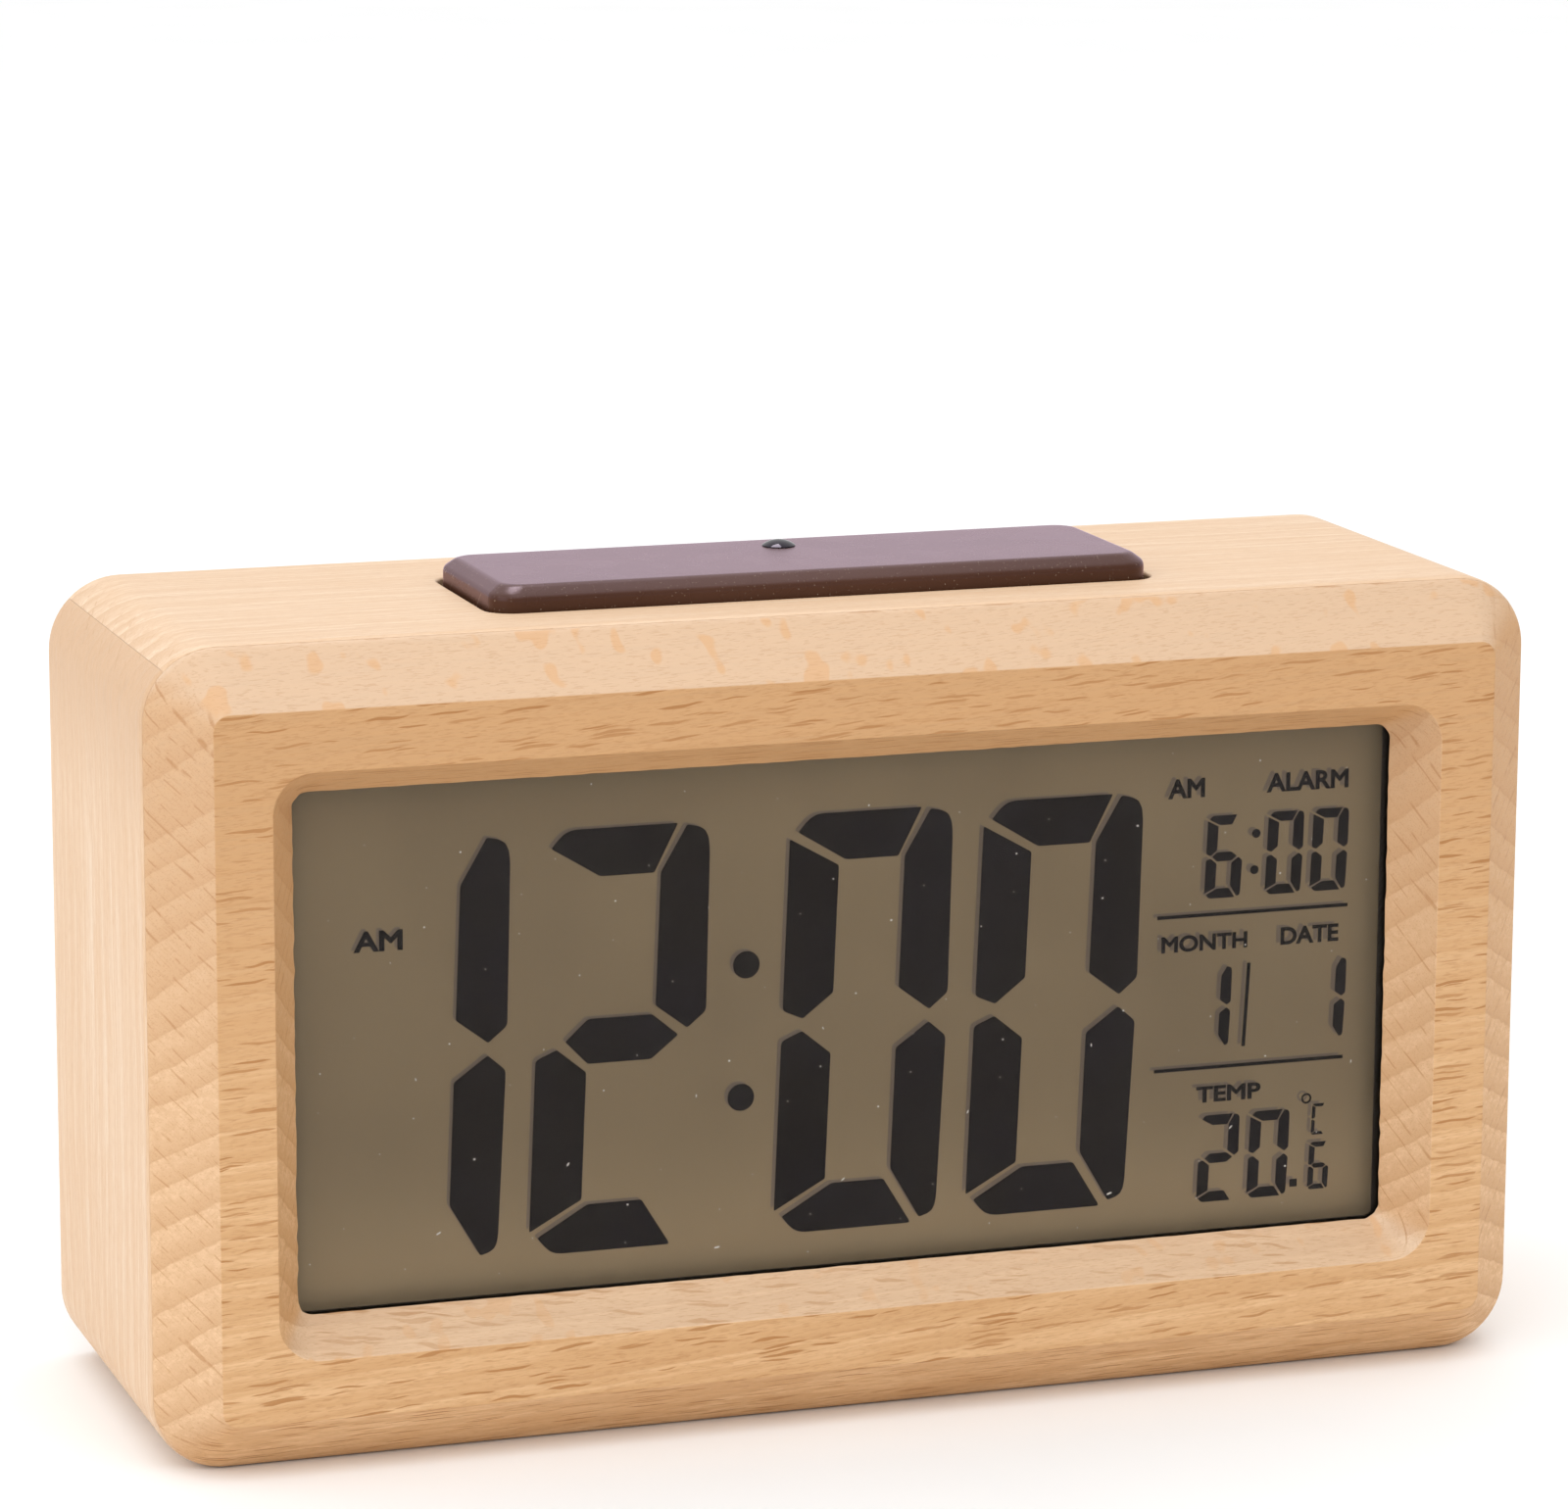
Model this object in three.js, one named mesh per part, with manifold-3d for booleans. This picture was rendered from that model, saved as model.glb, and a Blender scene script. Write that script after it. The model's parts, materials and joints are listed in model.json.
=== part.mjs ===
// A wooden table alarm clock with a large liquid-crystal display and a snooze bar.
// Millimetres, +Z up. The front faces -Y, and the origin is the middle of the underside.
// Depths are measured from the front face towards the back.
import * as THREE from "three";
import { mergeVertices } from "three/addons/utils/BufferGeometryUtils.js";
import Module from "manifold-3d";

const wasm = await Module();
wasm.setup();

// General fits
const FIT_GAP = 0.3; // beside a fixed piece, and round a screw or pin in its hole
const RUNNING_GAP = 0.4; // beside a piece that moves
const GLUE_GAP = 0.1; // in a mitre joint
const WELD = 0.5; // how far a shape runs into the one that it is joined to
const PAST = 1; // how far a cutting shape runs past the face that it cuts
const HOLE_SIDES = 12;
const PIN_SIDES = 16;
const KEY_SIDES = 24;

// Case
const CASE_WIDTH = 140;
const CASE_DEPTH = 46.3;
const CASE_HEIGHT = 79.2;
const CORNER_RADIUS = 7.2;
const BOARD_THICKNESS = 7;
const FRONT_THICKNESS = 5.5;
const CHAMFER_WIDTH = 5.6;
const FACE_CORNER_RADIUS = 1.6;
const STILE_WIDTH = 11.1; // from the case's side to the window's edge
const RAIL_HEIGHT = 11.4; // from the case's top or bottom to the window's edge
const BEVEL_SIDE = 3.2;
const BEVEL_RAIL = 2.95;
const WINDOW_RADIUS = 4;
const SIGHT_RADIUS = 1.5;
const CORNER_STEPS = 6;

// Display
const GLASS_MARGIN = 1.8; // hidden behind the front board, all round
const POLARISER_THICKNESS = 0.2;
const GLASS_THICKNESS = 1.1;
const CONTACT_LEDGE = 2.5;
const GUIDE_THICKNESS = 2.2;
const FRAME_FLOOR = 1.2;
const LED_BOARD_THICKNESS = 1;
const LED_BOARD_LENGTH = 40;
const LED_SIZE = 1.4;
const LED_HEIGHT = 0.6;
const LED_PITCH = 12;
const LED_COUNT = 3;
const ZEBRA_THICKNESS = 1.8;
const ZEBRA_INSET = 7; // from the glass's end to the strip's end

// Circuit boards
const PCB_THICKNESS = 1.6;
const MAIN_PCB_INSET = 5.5; // from the glass's end to the main board's end
const MAIN_PCB_HEIGHT = 48;
const STANDOFF_HEIGHT = 1.5;
const STANDOFF_RADIUS = 2.2;
const STAKE_RADIUS = 1;
const STAKE_PROUD = 0.8;
const STAKE_INSET = 4; // from a board's edge to its fixing hole
const CHIP_RADIUS = 7;
const CHIP_HEIGHT = 1.6;
const CRYSTAL_RADIUS = 1;
const CRYSTAL_LENGTH = 6;
const CRYSTAL_LIFT = 0.3;
const DOME_STEPS = 4;

// Snooze bar
const BAR_LENGTH = 67.2;
const BAR_DEPTH = 20.95;
const BAR_SETBACK = 13.85; // from the front face
const BAR_PROUD = 2.4;
const BAR_CHAMFER_HEIGHT = 0.95;
const BAR_CHAMFER_INSET = 1.25;
const BAR_CORNER = 2.5;
const BAR_INNER_CORNER = 0.6;
const BAR_WALL = 1.8;
const BAR_SKIRT_DROP = 1.2; // below the top board
const BAR_TRAVEL = 0.8;
const SLOT_END_GAP = 0.5;
const SLOT_SIDE_GAP = 0.45;
const LIP_REACH = 1.6; // past the bar's end, under the top board
const LIP_INSET = 2.2;
const LENS_SETBACK = 29.3; // from the front face
const LENS_RADIUS = 1.65;
const LENS_HEIGHT = 0.55;
const LENS_STEM_RADIUS = 1;
const LENS_STEM_LENGTH = 3;

// Carrier under the bar
const CARRIER_DROP = 9.2; // from the top board down to the carrier's underside
const CARRIER_FLOOR = 1.5;
const CARRIER_WALL = 1.8;
const CARRIER_LOW_WALL = 1.6;
const CARRIER_FRONT_SETBACK = 1.9; // behind the bar's front wall
const CARRIER_BACK_REACH = 1; // behind the bar
const EAR_REACH = 8.8;
const EAR_THICKNESS = 1.8;
const EAR_WIDTH = 11;
const EAR_SCREW_INSET = 4;
const SPRING_RADIUS = 2.8;
const SPRING_WIRE_RADIUS = 0.35;
const SPRING_CURLS = 6;
const SPRING_SEAT_GAP = 0.1;
const SPRING_INSET = 7.4; // from the bar's end to the spring's axis
const SPRING_POST_RADIUS = 1.7;
const SPRING_POST_HEIGHT = 4;
const SWITCH_BOARD_LENGTH = 28;
const SNOOZE_SWITCH_SETBACK = 22; // from the front face
const PUSHER_RADIUS = 2;
const SENSOR_RADIUS = 1.5;
const SENSOR_HEIGHT = 8;
const SENSOR_FLANGE_RADIUS = 1.75;
const SENSOR_FLANGE_THICKNESS = 1;

// Push switches
const SWITCH_SIDE = 6;
const SWITCH_HEIGHT = 3.5;
const SWITCH_POCKET = 2.9;
const PLUNGER_RADIUS = 1.7;
const PLUNGER_SUNK = 1.6;
const SNOOZE_PLUNGER_PROUD = 1;

// Rear cover
const COVER_SETBACK = 1.3; // from the case's back edge
const COVER_THICKNESS = 2;
const POST_RADIUS = 3;
const POST_INSET = 4.2; // from the frame's edge to a post's axis
const POST_BORE_DEPTH = 8;
const SCREW_SINK = 1; // from the cover's outer face down to a screw head's seat
const SOUND_HOLE_RADIUS = 0.8;
const SOUND_HOLE_SIDES = 10;
const SOUND_HOLE_COUNT = 6;
const SOUND_RING_RADIUS = 3.4;
const VENT_WIDTH = 8;
const VENT_HEIGHT = 1.1;
const VENT_PITCH = 2.4;
const VENT_COUNT = 4;

// Cells and battery bay
const CELL_COUNT = 3;
const CELL_RADIUS = 5.25;
const CELL_LENGTH = 44.5;
const CELL_NUB_RADIUS = 1.9;
const CELL_NUB_LENGTH = 1;
const CELL_EDGE = 0.6;
const CELL_SIDES = 20;
const CELL_GAP = 0.7; // between neighbouring cells
const CELL_WALL_GAP = 0.4;
const CONTACT_THICKNESS = 0.4;
const CONTACT_HEIGHT = 8;
const CONTACT_SPRING_LENGTH = 4;
const CONTACT_SPRING_BASE = 3.2;
const CONTACT_SPRING_TIP = 1.8;
const CONTACT_SPRING_CURLS = 3;
const SPRING_WELD = 0.15; // a contact spring's wire sunk into its blade
const CONTACT_TAIL_WIDTH = 3;
const CONTACT_TAIL_REACH = 1; // past the bay's wall, where the lead is soldered
const BAY_WALL = 2;
const BAY_SIDE_MARGIN = 9; // from the left board to the bay's outer wall
const BAY_BOTTOM_MARGIN = 2.65; // from the bottom board to the bay's outer wall
const DOOR_LEDGE = 1;
const DOOR_TAB_WIDTH = 7;
const DOOR_TAB_THICKNESS = 1.3;
const DOOR_TAB_REACH = 2;
const DOOR_TAB_INSET = 9; // from the door's end to a tab's middle
const DOOR_NOSE_WIDTH = 8;
const DOOR_NOSE_SETBACK = 1; // from the cover's inner face to the notch's floor
const DOOR_NOTCH_DEPTH = 1.1;
const DOOR_NOTCH_LENGTH = 12;
const LEAD_RADIUS = 0.8;
const LEAD_SIDES = 8;
const LEAD_STEPS = 30;
const LEAD_CLEARANCE = 1.5;
const LEAD_BEND = 4;

// Keys, slide switch and sounder on the key board
const KEY_RADIUS = 3;
const KEY_PROUD = 0.8;
const KEY_EDGE = 0.4;
const KEY_FLANGE_RADIUS = 4;
const KEY_FLANGE_THICKNESS = 1.2;
const KEY_PITCH = 12;
const KEY_ROW_DROP = 10; // from the key board's top edge
const KEY_PLUNGER_PROUD = 0.9;
const KEY_BOARD_GAP = 2.5; // beside the battery bay, a post and the carrier
const KEY_BOARD_BOTTOM = 12;
const SLIDE_LENGTH = 11;
const SLIDE_WIDTH = 6;
const SLIDE_HEIGHT = 4;
const SLIDE_TRAVEL = 2;
const SLIDE_STEM = 2.2;
const SLIDE_FLOOR = 1;
const SLIDE_DROP = 13; // below the key row
const BUZZER_RADIUS = 6;
const BUZZER_WALL = 0.8;
const BUZZER_PORT_RADIUS = 1;
const BUZZER_GAP = 0.5;
const BUZZER_DROP = 23; // below the key row
const BEAD_RADIUS = 1.2;
const BEAD_LEG_RADIUS = 0.6;
const BEAD_LEG_LENGTH = 1.6;
const RIBBON_WIDTH = 12;
const SWITCH_RIBBON_WIDTH = 9;
const RIBBON_THICKNESS = 0.4;
const RIBBON_BEND = 1.2;
const BEND_STEPS = 3;
const WAVE_STEPS = 8;
const SWITCH_RIBBON_GAP = 1; // before the carrier
const SWITCH_RIBBON_LAP = 2; // on the switch board

// Screws
const SHANK_RADIUS = 1;
const HEAD_RADIUS = 2;
const HEAD_HEIGHT = 1.2;
const HEAD_RIM = 0.65; // the head's height at its edge
const HEAD_FLAT_RADIUS = 1.2;
const RECESS_LENGTH = 2.2;
const RECESS_WIDTH = 0.6;
const RECESS_DEPTH = 0.7;
const FRAME_SCREW_BITE = 3.5;
const CARRIER_SCREW_BITE = 4;
const COVER_SCREW_BITE = 6;
const FRAME_SCREW_SPACING = 36;

// Places worked out from the sizes, as depths behind the front face, widths and heights
const FRONT = -CASE_DEPTH / 2;
const at = (depth) => FRONT + depth;
const cavityHalf = CASE_WIDTH / 2 - BOARD_THICKNESS;
const cavityBottom = BOARD_THICKNESS;
const cavityTop = CASE_HEIGHT - BOARD_THICKNESS;
const middle = CASE_HEIGHT / 2;
const windowHalf = CASE_WIDTH / 2 - STILE_WIDTH;
const windowRise = middle - RAIL_HEIGHT;
const sightHalf = windowHalf - BEVEL_SIDE;
const sightRise = windowRise - BEVEL_RAIL;

const glassHalf = sightHalf + GLASS_MARGIN;
const glassTop = middle + sightRise + GLASS_MARGIN;
const glassBottom = middle - sightRise - GLASS_MARGIN;
const polariserFront = FRONT_THICKNESS + FIT_GAP;
const frontGlass = polariserFront + POLARISER_THICKNESS;
const rearGlass = frontGlass + GLASS_THICKNESS;
const guideFront = rearGlass + GLASS_THICKNESS + POLARISER_THICKNESS;
const frameFloor = guideFront + GUIDE_THICKNESS;
const frameBack = frameFloor + FRAME_FLOOR;
const mainPcbFront = frameBack + STANDOFF_HEIGHT;
const mainPcbBack = mainPcbFront + PCB_THICKNESS;

const skirtBottom = cavityTop - BAR_SKIRT_DROP;
const barTop = CASE_HEIGHT + BAR_PROUD;
const barUnderside = barTop - BAR_WALL;
const barMiddle = BAR_SETBACK + BAR_DEPTH / 2;
const frameHalf = cavityHalf - FIT_GAP;
const frameBottom = cavityBottom + FIT_GAP;
const frameTop = skirtBottom - BAR_TRAVEL - RUNNING_GAP;
const postX = frameHalf - POST_INSET;
const postHeights = [frameBottom + POST_INSET, frameTop - POST_INSET];

const carrierBottom = cavityTop - CARRIER_DROP;
const trayFloor = carrierBottom + CARRIER_FLOOR;
const trayFront = BAR_SETBACK + BAR_WALL + CARRIER_FRONT_SETBACK;
const trayBack = BAR_SETBACK + BAR_DEPTH + CARRIER_BACK_REACH;
const trayHalf = BAR_LENGTH / 2 + LIP_REACH + RUNNING_GAP;
const springX = BAR_LENGTH / 2 - SPRING_INSET;
const switchBoardTop = trayFloor + PCB_THICKNESS;
const snoozeSwitchTop = switchBoardTop + SWITCH_HEIGHT;
const pusherEnd = snoozeSwitchTop + SNOOZE_PLUNGER_PROUD;

const coverBack = CASE_DEPTH - COVER_SETBACK;
const coverFront = coverBack - COVER_THICKNESS;
const screwSeat = coverBack - SCREW_SINK;
const keyFlangeBack = coverFront - RUNNING_GAP;
const keyFront = keyFlangeBack - KEY_FLANGE_THICKNESS;
const keySwitchBack = keyFront - KEY_PLUNGER_PROUD;
const keyBoardBack = keySwitchBack - SWITCH_HEIGHT;
const keyBoardFront = keyBoardBack - PCB_THICKNESS;

const bayLength = CELL_LENGTH + CONTACT_SPRING_LENGTH + 2 * CONTACT_THICKNESS;
const bayLeft = -cavityHalf + BAY_SIDE_MARGIN + BAY_WALL;
const bayRight = bayLeft + bayLength;
const cellPitch = 2 * CELL_RADIUS + CELL_GAP;
const bayBottom = cavityBottom + BAY_BOTTOM_MARGIN + BAY_WALL;
const bayTop = bayBottom + CELL_COUNT * cellPitch - CELL_GAP + 2 * CELL_WALL_GAP;
const cellDepth = coverFront - CELL_WALL_GAP - CELL_RADIUS - DOOR_TAB_THICKNESS;
const bayFloor = cellDepth - CELL_RADIUS - CELL_WALL_GAP;
const cellHeight = (i) => bayTop - CELL_WALL_GAP - CELL_RADIUS - i * cellPitch;
const doorHinge = bayBottom - DOOR_LEDGE + FIT_GAP;

const keyBoardLeft = bayRight + BAY_WALL + KEY_BOARD_GAP;
const keyBoardRight = postX - POST_RADIUS - KEY_BOARD_GAP / 2;
const keyBoardTop = carrierBottom - KEY_BOARD_GAP;
const keyBoardMiddle = (keyBoardLeft + keyBoardRight) / 2;
const keyRow = keyBoardTop - KEY_ROW_DROP;
const keyXs = [-1, 0, 1].map((i) => keyBoardMiddle + i * KEY_PITCH);
const slideX = keyBoardMiddle - KEY_PITCH;
const slideHeight = keyRow - SLIDE_DROP;
const buzzerX = keyBoardMiddle + KEY_PITCH / 2;
const buzzerHeight = keyRow - BUZZER_DROP;
const ventX = slideX - SLIDE_LENGTH / 2 + VENT_WIDTH / 2;
const ventHeight = slideHeight - SLIDE_DROP;

// Materials
const finish = (color, roughness, metalness = 0) =>
  new THREE.MeshStandardMaterial({ color, roughness, metalness });
const beech = finish(0xe6c79c, 0.62);
const darkGlass = finish(0x6d6250, 0.22);
const clear = finish(0xd8dde0, 0.15);
const white = finish(0xe9e8e2, 0.5);
const circuit = finish(0x2f6b3c, 0.55);
const brown = finish(0x5c4037, 0.42);
const black = finish(0x1d1d1f, 0.5);
const lens = finish(0x141416, 0.12);
const steel = finish(0xb9bbbd, 0.32, 1);
const sleeve = finish(0x3b6ea8, 0.35);
const grey = finish(0x8d8f92, 0.5);

// Solids. A BufferGeometry becomes a solid once its shared vertices are merged.
function solidOf(geometry) {
  const bare = geometry.index ? geometry.toNonIndexed() : geometry.clone();
  bare.deleteAttribute("normal");
  bare.deleteAttribute("uv");
  const merged = mergeVertices(bare, 1e-4);
  return new wasm.Manifold(
    new wasm.Mesh({
      numProp: 3,
      vertProperties: merged.attributes.position.array,
      triVerts: new Uint32Array(merged.index.array),
    }),
  );
}

function geometryOf(solid) {
  const mesh = solid.getMesh();
  const geometry = new THREE.BufferGeometry();
  const position = new Float32Array(mesh.numVert * 3);
  for (let i = 0; i < mesh.numVert; i++) {
    position.set(mesh.vertProperties.subarray(i * mesh.numProp, i * mesh.numProp + 3), i * 3);
  }
  geometry.setAttribute("position", new THREE.BufferAttribute(position, 3));
  geometry.setIndex(new THREE.BufferAttribute(mesh.triVerts, 1));
  const shown = geometry.toNonIndexed();
  shown.computeVertexNormals();
  return shown;
}

function join(...solids) {
  return solids.reduce((whole, piece) => whole.add(piece));
}

function cut(solid, ...tools) {
  return tools.reduce((whole, tool) => whole.subtract(tool), solid);
}

// A box between two corners: x range, depth range behind the front face, height range
function box([x0, x1], [d0, d1], [z0, z1]) {
  const geometry = new THREE.BoxGeometry(x1 - x0, d1 - d0, z1 - z0);
  geometry.translate((x0 + x1) / 2, at((d0 + d1) / 2), (z0 + z1) / 2);
  return solidOf(geometry);
}

// An upright outline in X and Z becomes a solid whose extrusion runs along the depth.
const upright = new THREE.Matrix4().set(1, 0, 0, 0, 0, 0, -1, 0, 0, 1, 0, 0, 0, 0, 0, 1);

// A closed solid between outlines with equal numbers of points, at rising levels
function loft(outlines, levels) {
  const count = outlines[0].length;
  const position = outlines.flatMap((outline, i) => outline.flatMap((p) => [p.x, p.y, levels[i]]));
  const index = [];
  for (let ring = 0; ring + 1 < outlines.length; ring++) {
    for (let k = 0; k < count; k++) {
      const a = ring * count + k;
      const b = ring * count + ((k + 1) % count);
      index.push(a, b, b + count, a, b + count, a + count);
    }
  }
  const last = (outlines.length - 1) * count;
  for (const [a, b, c] of THREE.ShapeUtils.triangulateShape(outlines[0], [])) {
    index.push(a, c, b);
  }
  for (const [a, b, c] of THREE.ShapeUtils.triangulateShape(outlines[outlines.length - 1], [])) {
    index.push(last + a, last + b, last + c);
  }
  const geometry = new THREE.BufferGeometry();
  geometry.setAttribute("position", new THREE.Float32BufferAttribute(position, 3));
  geometry.setIndex(index);
  return geometry;
}

// A rectangle with round corners, anticlockwise, about a centre
function roundedOutline(half, rise, radius, x = 0, y = 0) {
  const points = [];
  const corners = [[1, 1], [-1, 1], [-1, -1], [1, -1]];
  corners.forEach(([sx, sy], quarter) => {
    for (let step = 0; step <= CORNER_STEPS; step++) {
      const angle = (quarter + step / CORNER_STEPS) * (Math.PI / 2);
      points.push(
        new THREE.Vector2(
          x + sx * (half - radius) + radius * Math.cos(angle),
          y + sy * (rise - radius) + radius * Math.sin(angle),
        ),
      );
    }
  });
  return points;
}

// Upright rounded rectangles about the case's middle, lofted from the back to the front
function uprightLoft(outlines, depths) {
  return solidOf(loft(outlines, depths.map((depth) => -at(depth))).applyMatrix4(upright));
}

// A cylinder along the depth
function pin(radius, [d0, d1], x, z, sides = PIN_SIDES) {
  const geometry = new THREE.CylinderGeometry(radius, radius, d1 - d0, sides);
  geometry.translate(x, at((d0 + d1) / 2), z);
  return solidOf(geometry);
}

// A cylinder along the height
function column(radius, [z0, z1], x, depth, sides = PIN_SIDES) {
  const geometry = new THREE.CylinderGeometry(radius, radius, z1 - z0, sides);
  geometry.rotateX(Math.PI / 2);
  geometry.translate(x, at(depth), (z0 + z1) / 2);
  return solidOf(geometry);
}

// A tube along a curve
function tube(curve, radius, sides, steps) {
  const section = new THREE.Shape();
  for (let i = 0; i < sides; i++) {
    const angle = (i / sides) * 2 * Math.PI;
    const point = [radius * Math.cos(angle), radius * Math.sin(angle)];
    if (i === 0) section.moveTo(...point);
    else section.lineTo(...point);
  }
  section.closePath();
  return new THREE.ExtrudeGeometry(section, { steps, bevelEnabled: false, extrudePath: curve });
}

// The least gap between a wound tube's neighbouring curls
function leastGap(curve, radius, curls) {
  const perCurl = 24;
  const points = curve.getPoints(curls * perCurl);
  let least = Infinity;
  points.forEach((p, i) => {
    for (let j = i + perCurl / 2; j < points.length; j++) {
      least = Math.min(least, p.distanceTo(points[j]) - 2 * radius);
    }
  });
  return least;
}

// A helix about an axis, from one end to the other, whose radius may change on the way
class Helix extends THREE.Curve {
  constructor(startRadius, endRadius, length, curls) {
    super();
    Object.assign(this, { startRadius, endRadius, length, curls });
  }
  getPoint(t, target = new THREE.Vector3()) {
    const radius = THREE.MathUtils.lerp(this.startRadius, this.endRadius, t);
    const angle = 2 * Math.PI * this.curls * t;
    return target.set(radius * Math.cos(angle), radius * Math.sin(angle), this.length * t);
  }
}

const CURL_STEPS = 8;
const CURL_SIDES = 5;
function spring(startRadius, endRadius, length, curls) {
  const curve = new Helix(startRadius, endRadius, length, curls);
  console.log("spring gap", leastGap(curve, SPRING_WIRE_RADIUS, curls).toFixed(2), "mm");
  return tube(curve, SPRING_WIRE_RADIUS, CURL_SIDES, curls * CURL_STEPS);
}

// Case

function frontBoard() {
  const outer = uprightLoft(
    [
      roundedOutline(CASE_WIDTH / 2, CASE_HEIGHT / 2, CORNER_RADIUS, 0, middle),
      roundedOutline(
        CASE_WIDTH / 2 - CHAMFER_WIDTH,
        CASE_HEIGHT / 2 - CHAMFER_WIDTH,
        FACE_CORNER_RADIUS,
        0,
        middle,
      ),
    ],
    [FRONT_THICKNESS, 0],
  );
  // The bevel's slope carried a little past both faces
  const past = 0.1;
  const windowAt = (share) =>
    roundedOutline(
      windowHalf - BEVEL_SIDE * share,
      windowRise - BEVEL_RAIL * share,
      WINDOW_RADIUS + (SIGHT_RADIUS - WINDOW_RADIUS) * share,
      0,
      middle,
    );
  const opening = uprightLoft(
    [windowAt(1 + past), windowAt(-past)],
    [FRONT_THICKNESS * (1 + past), -FRONT_THICKNESS * past],
  );
  return cut(outer, opening, ...frameScrewPlaces().map(([x, z]) =>
    pin(
      SHANK_RADIUS + FIT_GAP,
      [FRONT_THICKNESS - FRAME_SCREW_BITE - FIT_GAP, FRONT_THICKNESS + PAST],
      x,
      z,
      HOLE_SIDES,
    ),
  ));
}

// The four boards behind the front board are one ring, parted by the mitres.
function caseRing() {
  const outer = roundedOutline(CASE_WIDTH / 2, CASE_HEIGHT / 2, CORNER_RADIUS, 0, middle);
  const depths = [CASE_DEPTH, FRONT_THICKNESS];
  const cavity = box(
    [-cavityHalf, cavityHalf],
    [FRONT_THICKNESS - PAST, CASE_DEPTH + PAST],
    [cavityBottom, cavityTop],
  );
  return cut(uprightLoft([outer, outer], depths), cavity);
}

// A mitred quarter of the ring. Its wedge widens outwards at 45 degrees from the cavity's corners.
function mitred(horizontal, sign) {
  const near = BOARD_THICKNESS;
  const far = 2 * BOARD_THICKNESS;
  const shift = (GLUE_GAP / 2) * Math.SQRT2;
  const along = horizontal ? cavityHalf : (cavityTop - cavityBottom) / 2;
  const across = horizontal ? (cavityTop - cavityBottom) / 2 : cavityHalf;
  const corners = [
    [along + far - shift, across + far],
    [-along - far + shift, across + far],
    [-along + near + shift, across - near],
    [along - near - shift, across - near],
  ];
  const outline = corners.map(([a, b]) =>
    horizontal
      ? new THREE.Vector2(a, middle + sign * b)
      : new THREE.Vector2(sign * b, middle + a),
  );
  if (THREE.ShapeUtils.area(outline) < 0) outline.reverse();
  const wedge = uprightLoft([outline, outline], [CASE_DEPTH + PAST, FRONT_THICKNESS - PAST]);
  return caseRing().intersect(wedge);
}

function caseTopBoard() {
  const slot = roundedOutline(
    BAR_LENGTH / 2 + SLOT_END_GAP,
    BAR_DEPTH / 2 + SLOT_SIDE_GAP,
    BAR_CORNER,
    0,
    at(barMiddle),
  );
  const slotCut = solidOf(loft([slot, slot], [cavityTop - PAST, CASE_HEIGHT + PAST]));
  const pilots = [-1, 1].map((side) =>
    column(
      SHANK_RADIUS + FIT_GAP,
      [cavityTop - PAST, cavityTop + CARRIER_SCREW_BITE + FIT_GAP],
      side * earScrewX(),
      barMiddle,
      HOLE_SIDES,
    ),
  );
  return cut(mitred(true, 1), slotCut, ...pilots);
}

// Display

function lcdFrame() {
  const body = box([-frameHalf, frameHalf], [FRONT_THICKNESS, frameBack], [frameBottom, frameTop]);
  const pocket = box(
    [-glassHalf - FIT_GAP, glassHalf + FIT_GAP],
    [FRONT_THICKNESS - PAST, frameFloor],
    [glassBottom - CONTACT_LEDGE - FIT_GAP, glassTop + FIT_GAP],
  );
  const zebraSlot = box(
    [-zebraHalf() - FIT_GAP, zebraHalf() + FIT_GAP],
    [frameFloor - PAST, frameBack + PAST],
    [zebraBottom() - FIT_GAP, zebraBottom() + ZEBRA_THICKNESS + FIT_GAP],
  );
  const screwHoles = frameScrewPlaces().map(([x, z]) =>
    pin(SHANK_RADIUS + FIT_GAP, [FRONT_THICKNESS - PAST, frameBack + PAST], x, z, HOLE_SIDES),
  );
  const posts = postPlaces().map(([x, z]) =>
    cut(
      pin(POST_RADIUS, [frameBack - WELD, coverFront], x, z),
      pin(
        SHANK_RADIUS + FIT_GAP,
        [coverFront - POST_BORE_DEPTH, coverFront + PAST],
        x,
        z,
        HOLE_SIDES,
      ),
    ),
  );
  const standoffs = mainStakePlaces().flatMap(([x, z]) => [
    pin(STANDOFF_RADIUS, [frameBack - WELD, mainPcbFront], x, z, HOLE_SIDES),
    pin(STAKE_RADIUS, [mainPcbFront - WELD, mainPcbBack + STAKE_PROUD], x, z, HOLE_SIDES),
  ]);
  return join(cut(body, pocket, zebraSlot, ...screwHoles), ...posts, ...standoffs);
}

function postPlaces() {
  return [-postX, postX].flatMap((x) => postHeights.map((z) => [x, z]));
}

function frameScrewPlaces() {
  const x = (glassHalf + FIT_GAP + frameHalf) / 2;
  return [-x, x].flatMap((sx) => [-1, 1].map((s) => [sx, middle + (s * FRAME_SCREW_SPACING) / 2]));
}

function zebraHalf() {
  return glassHalf - ZEBRA_INSET;
}

function zebraBottom() {
  return glassBottom - CONTACT_LEDGE + FIT_GAP;
}

function mainPcbHalf() {
  return glassHalf - MAIN_PCB_INSET;
}

function mainPcbHeights() {
  const bottom = zebraBottom() - FIT_GAP;
  return [bottom, bottom + MAIN_PCB_HEIGHT];
}

function mainStakePlaces() {
  const [bottom, top] = mainPcbHeights();
  const x = mainPcbHalf() - STAKE_INSET;
  const low = bottom + STAKE_INSET + ZEBRA_THICKNESS;
  return [-x, x].flatMap((sx) => [low, top - STAKE_INSET].map((z) => [sx, z]));
}

function mainPcb() {
  const [bottom, top] = mainPcbHeights();
  const board = box([-mainPcbHalf(), mainPcbHalf()], [mainPcbFront, mainPcbBack], [bottom, top]);
  return cut(board, ...mainStakePlaces().map(([x, z]) =>
    pin(STAKE_RADIUS + FIT_GAP, [mainPcbFront - PAST, mainPcbBack + PAST], x, z, HOLE_SIDES),
  ));
}

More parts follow.
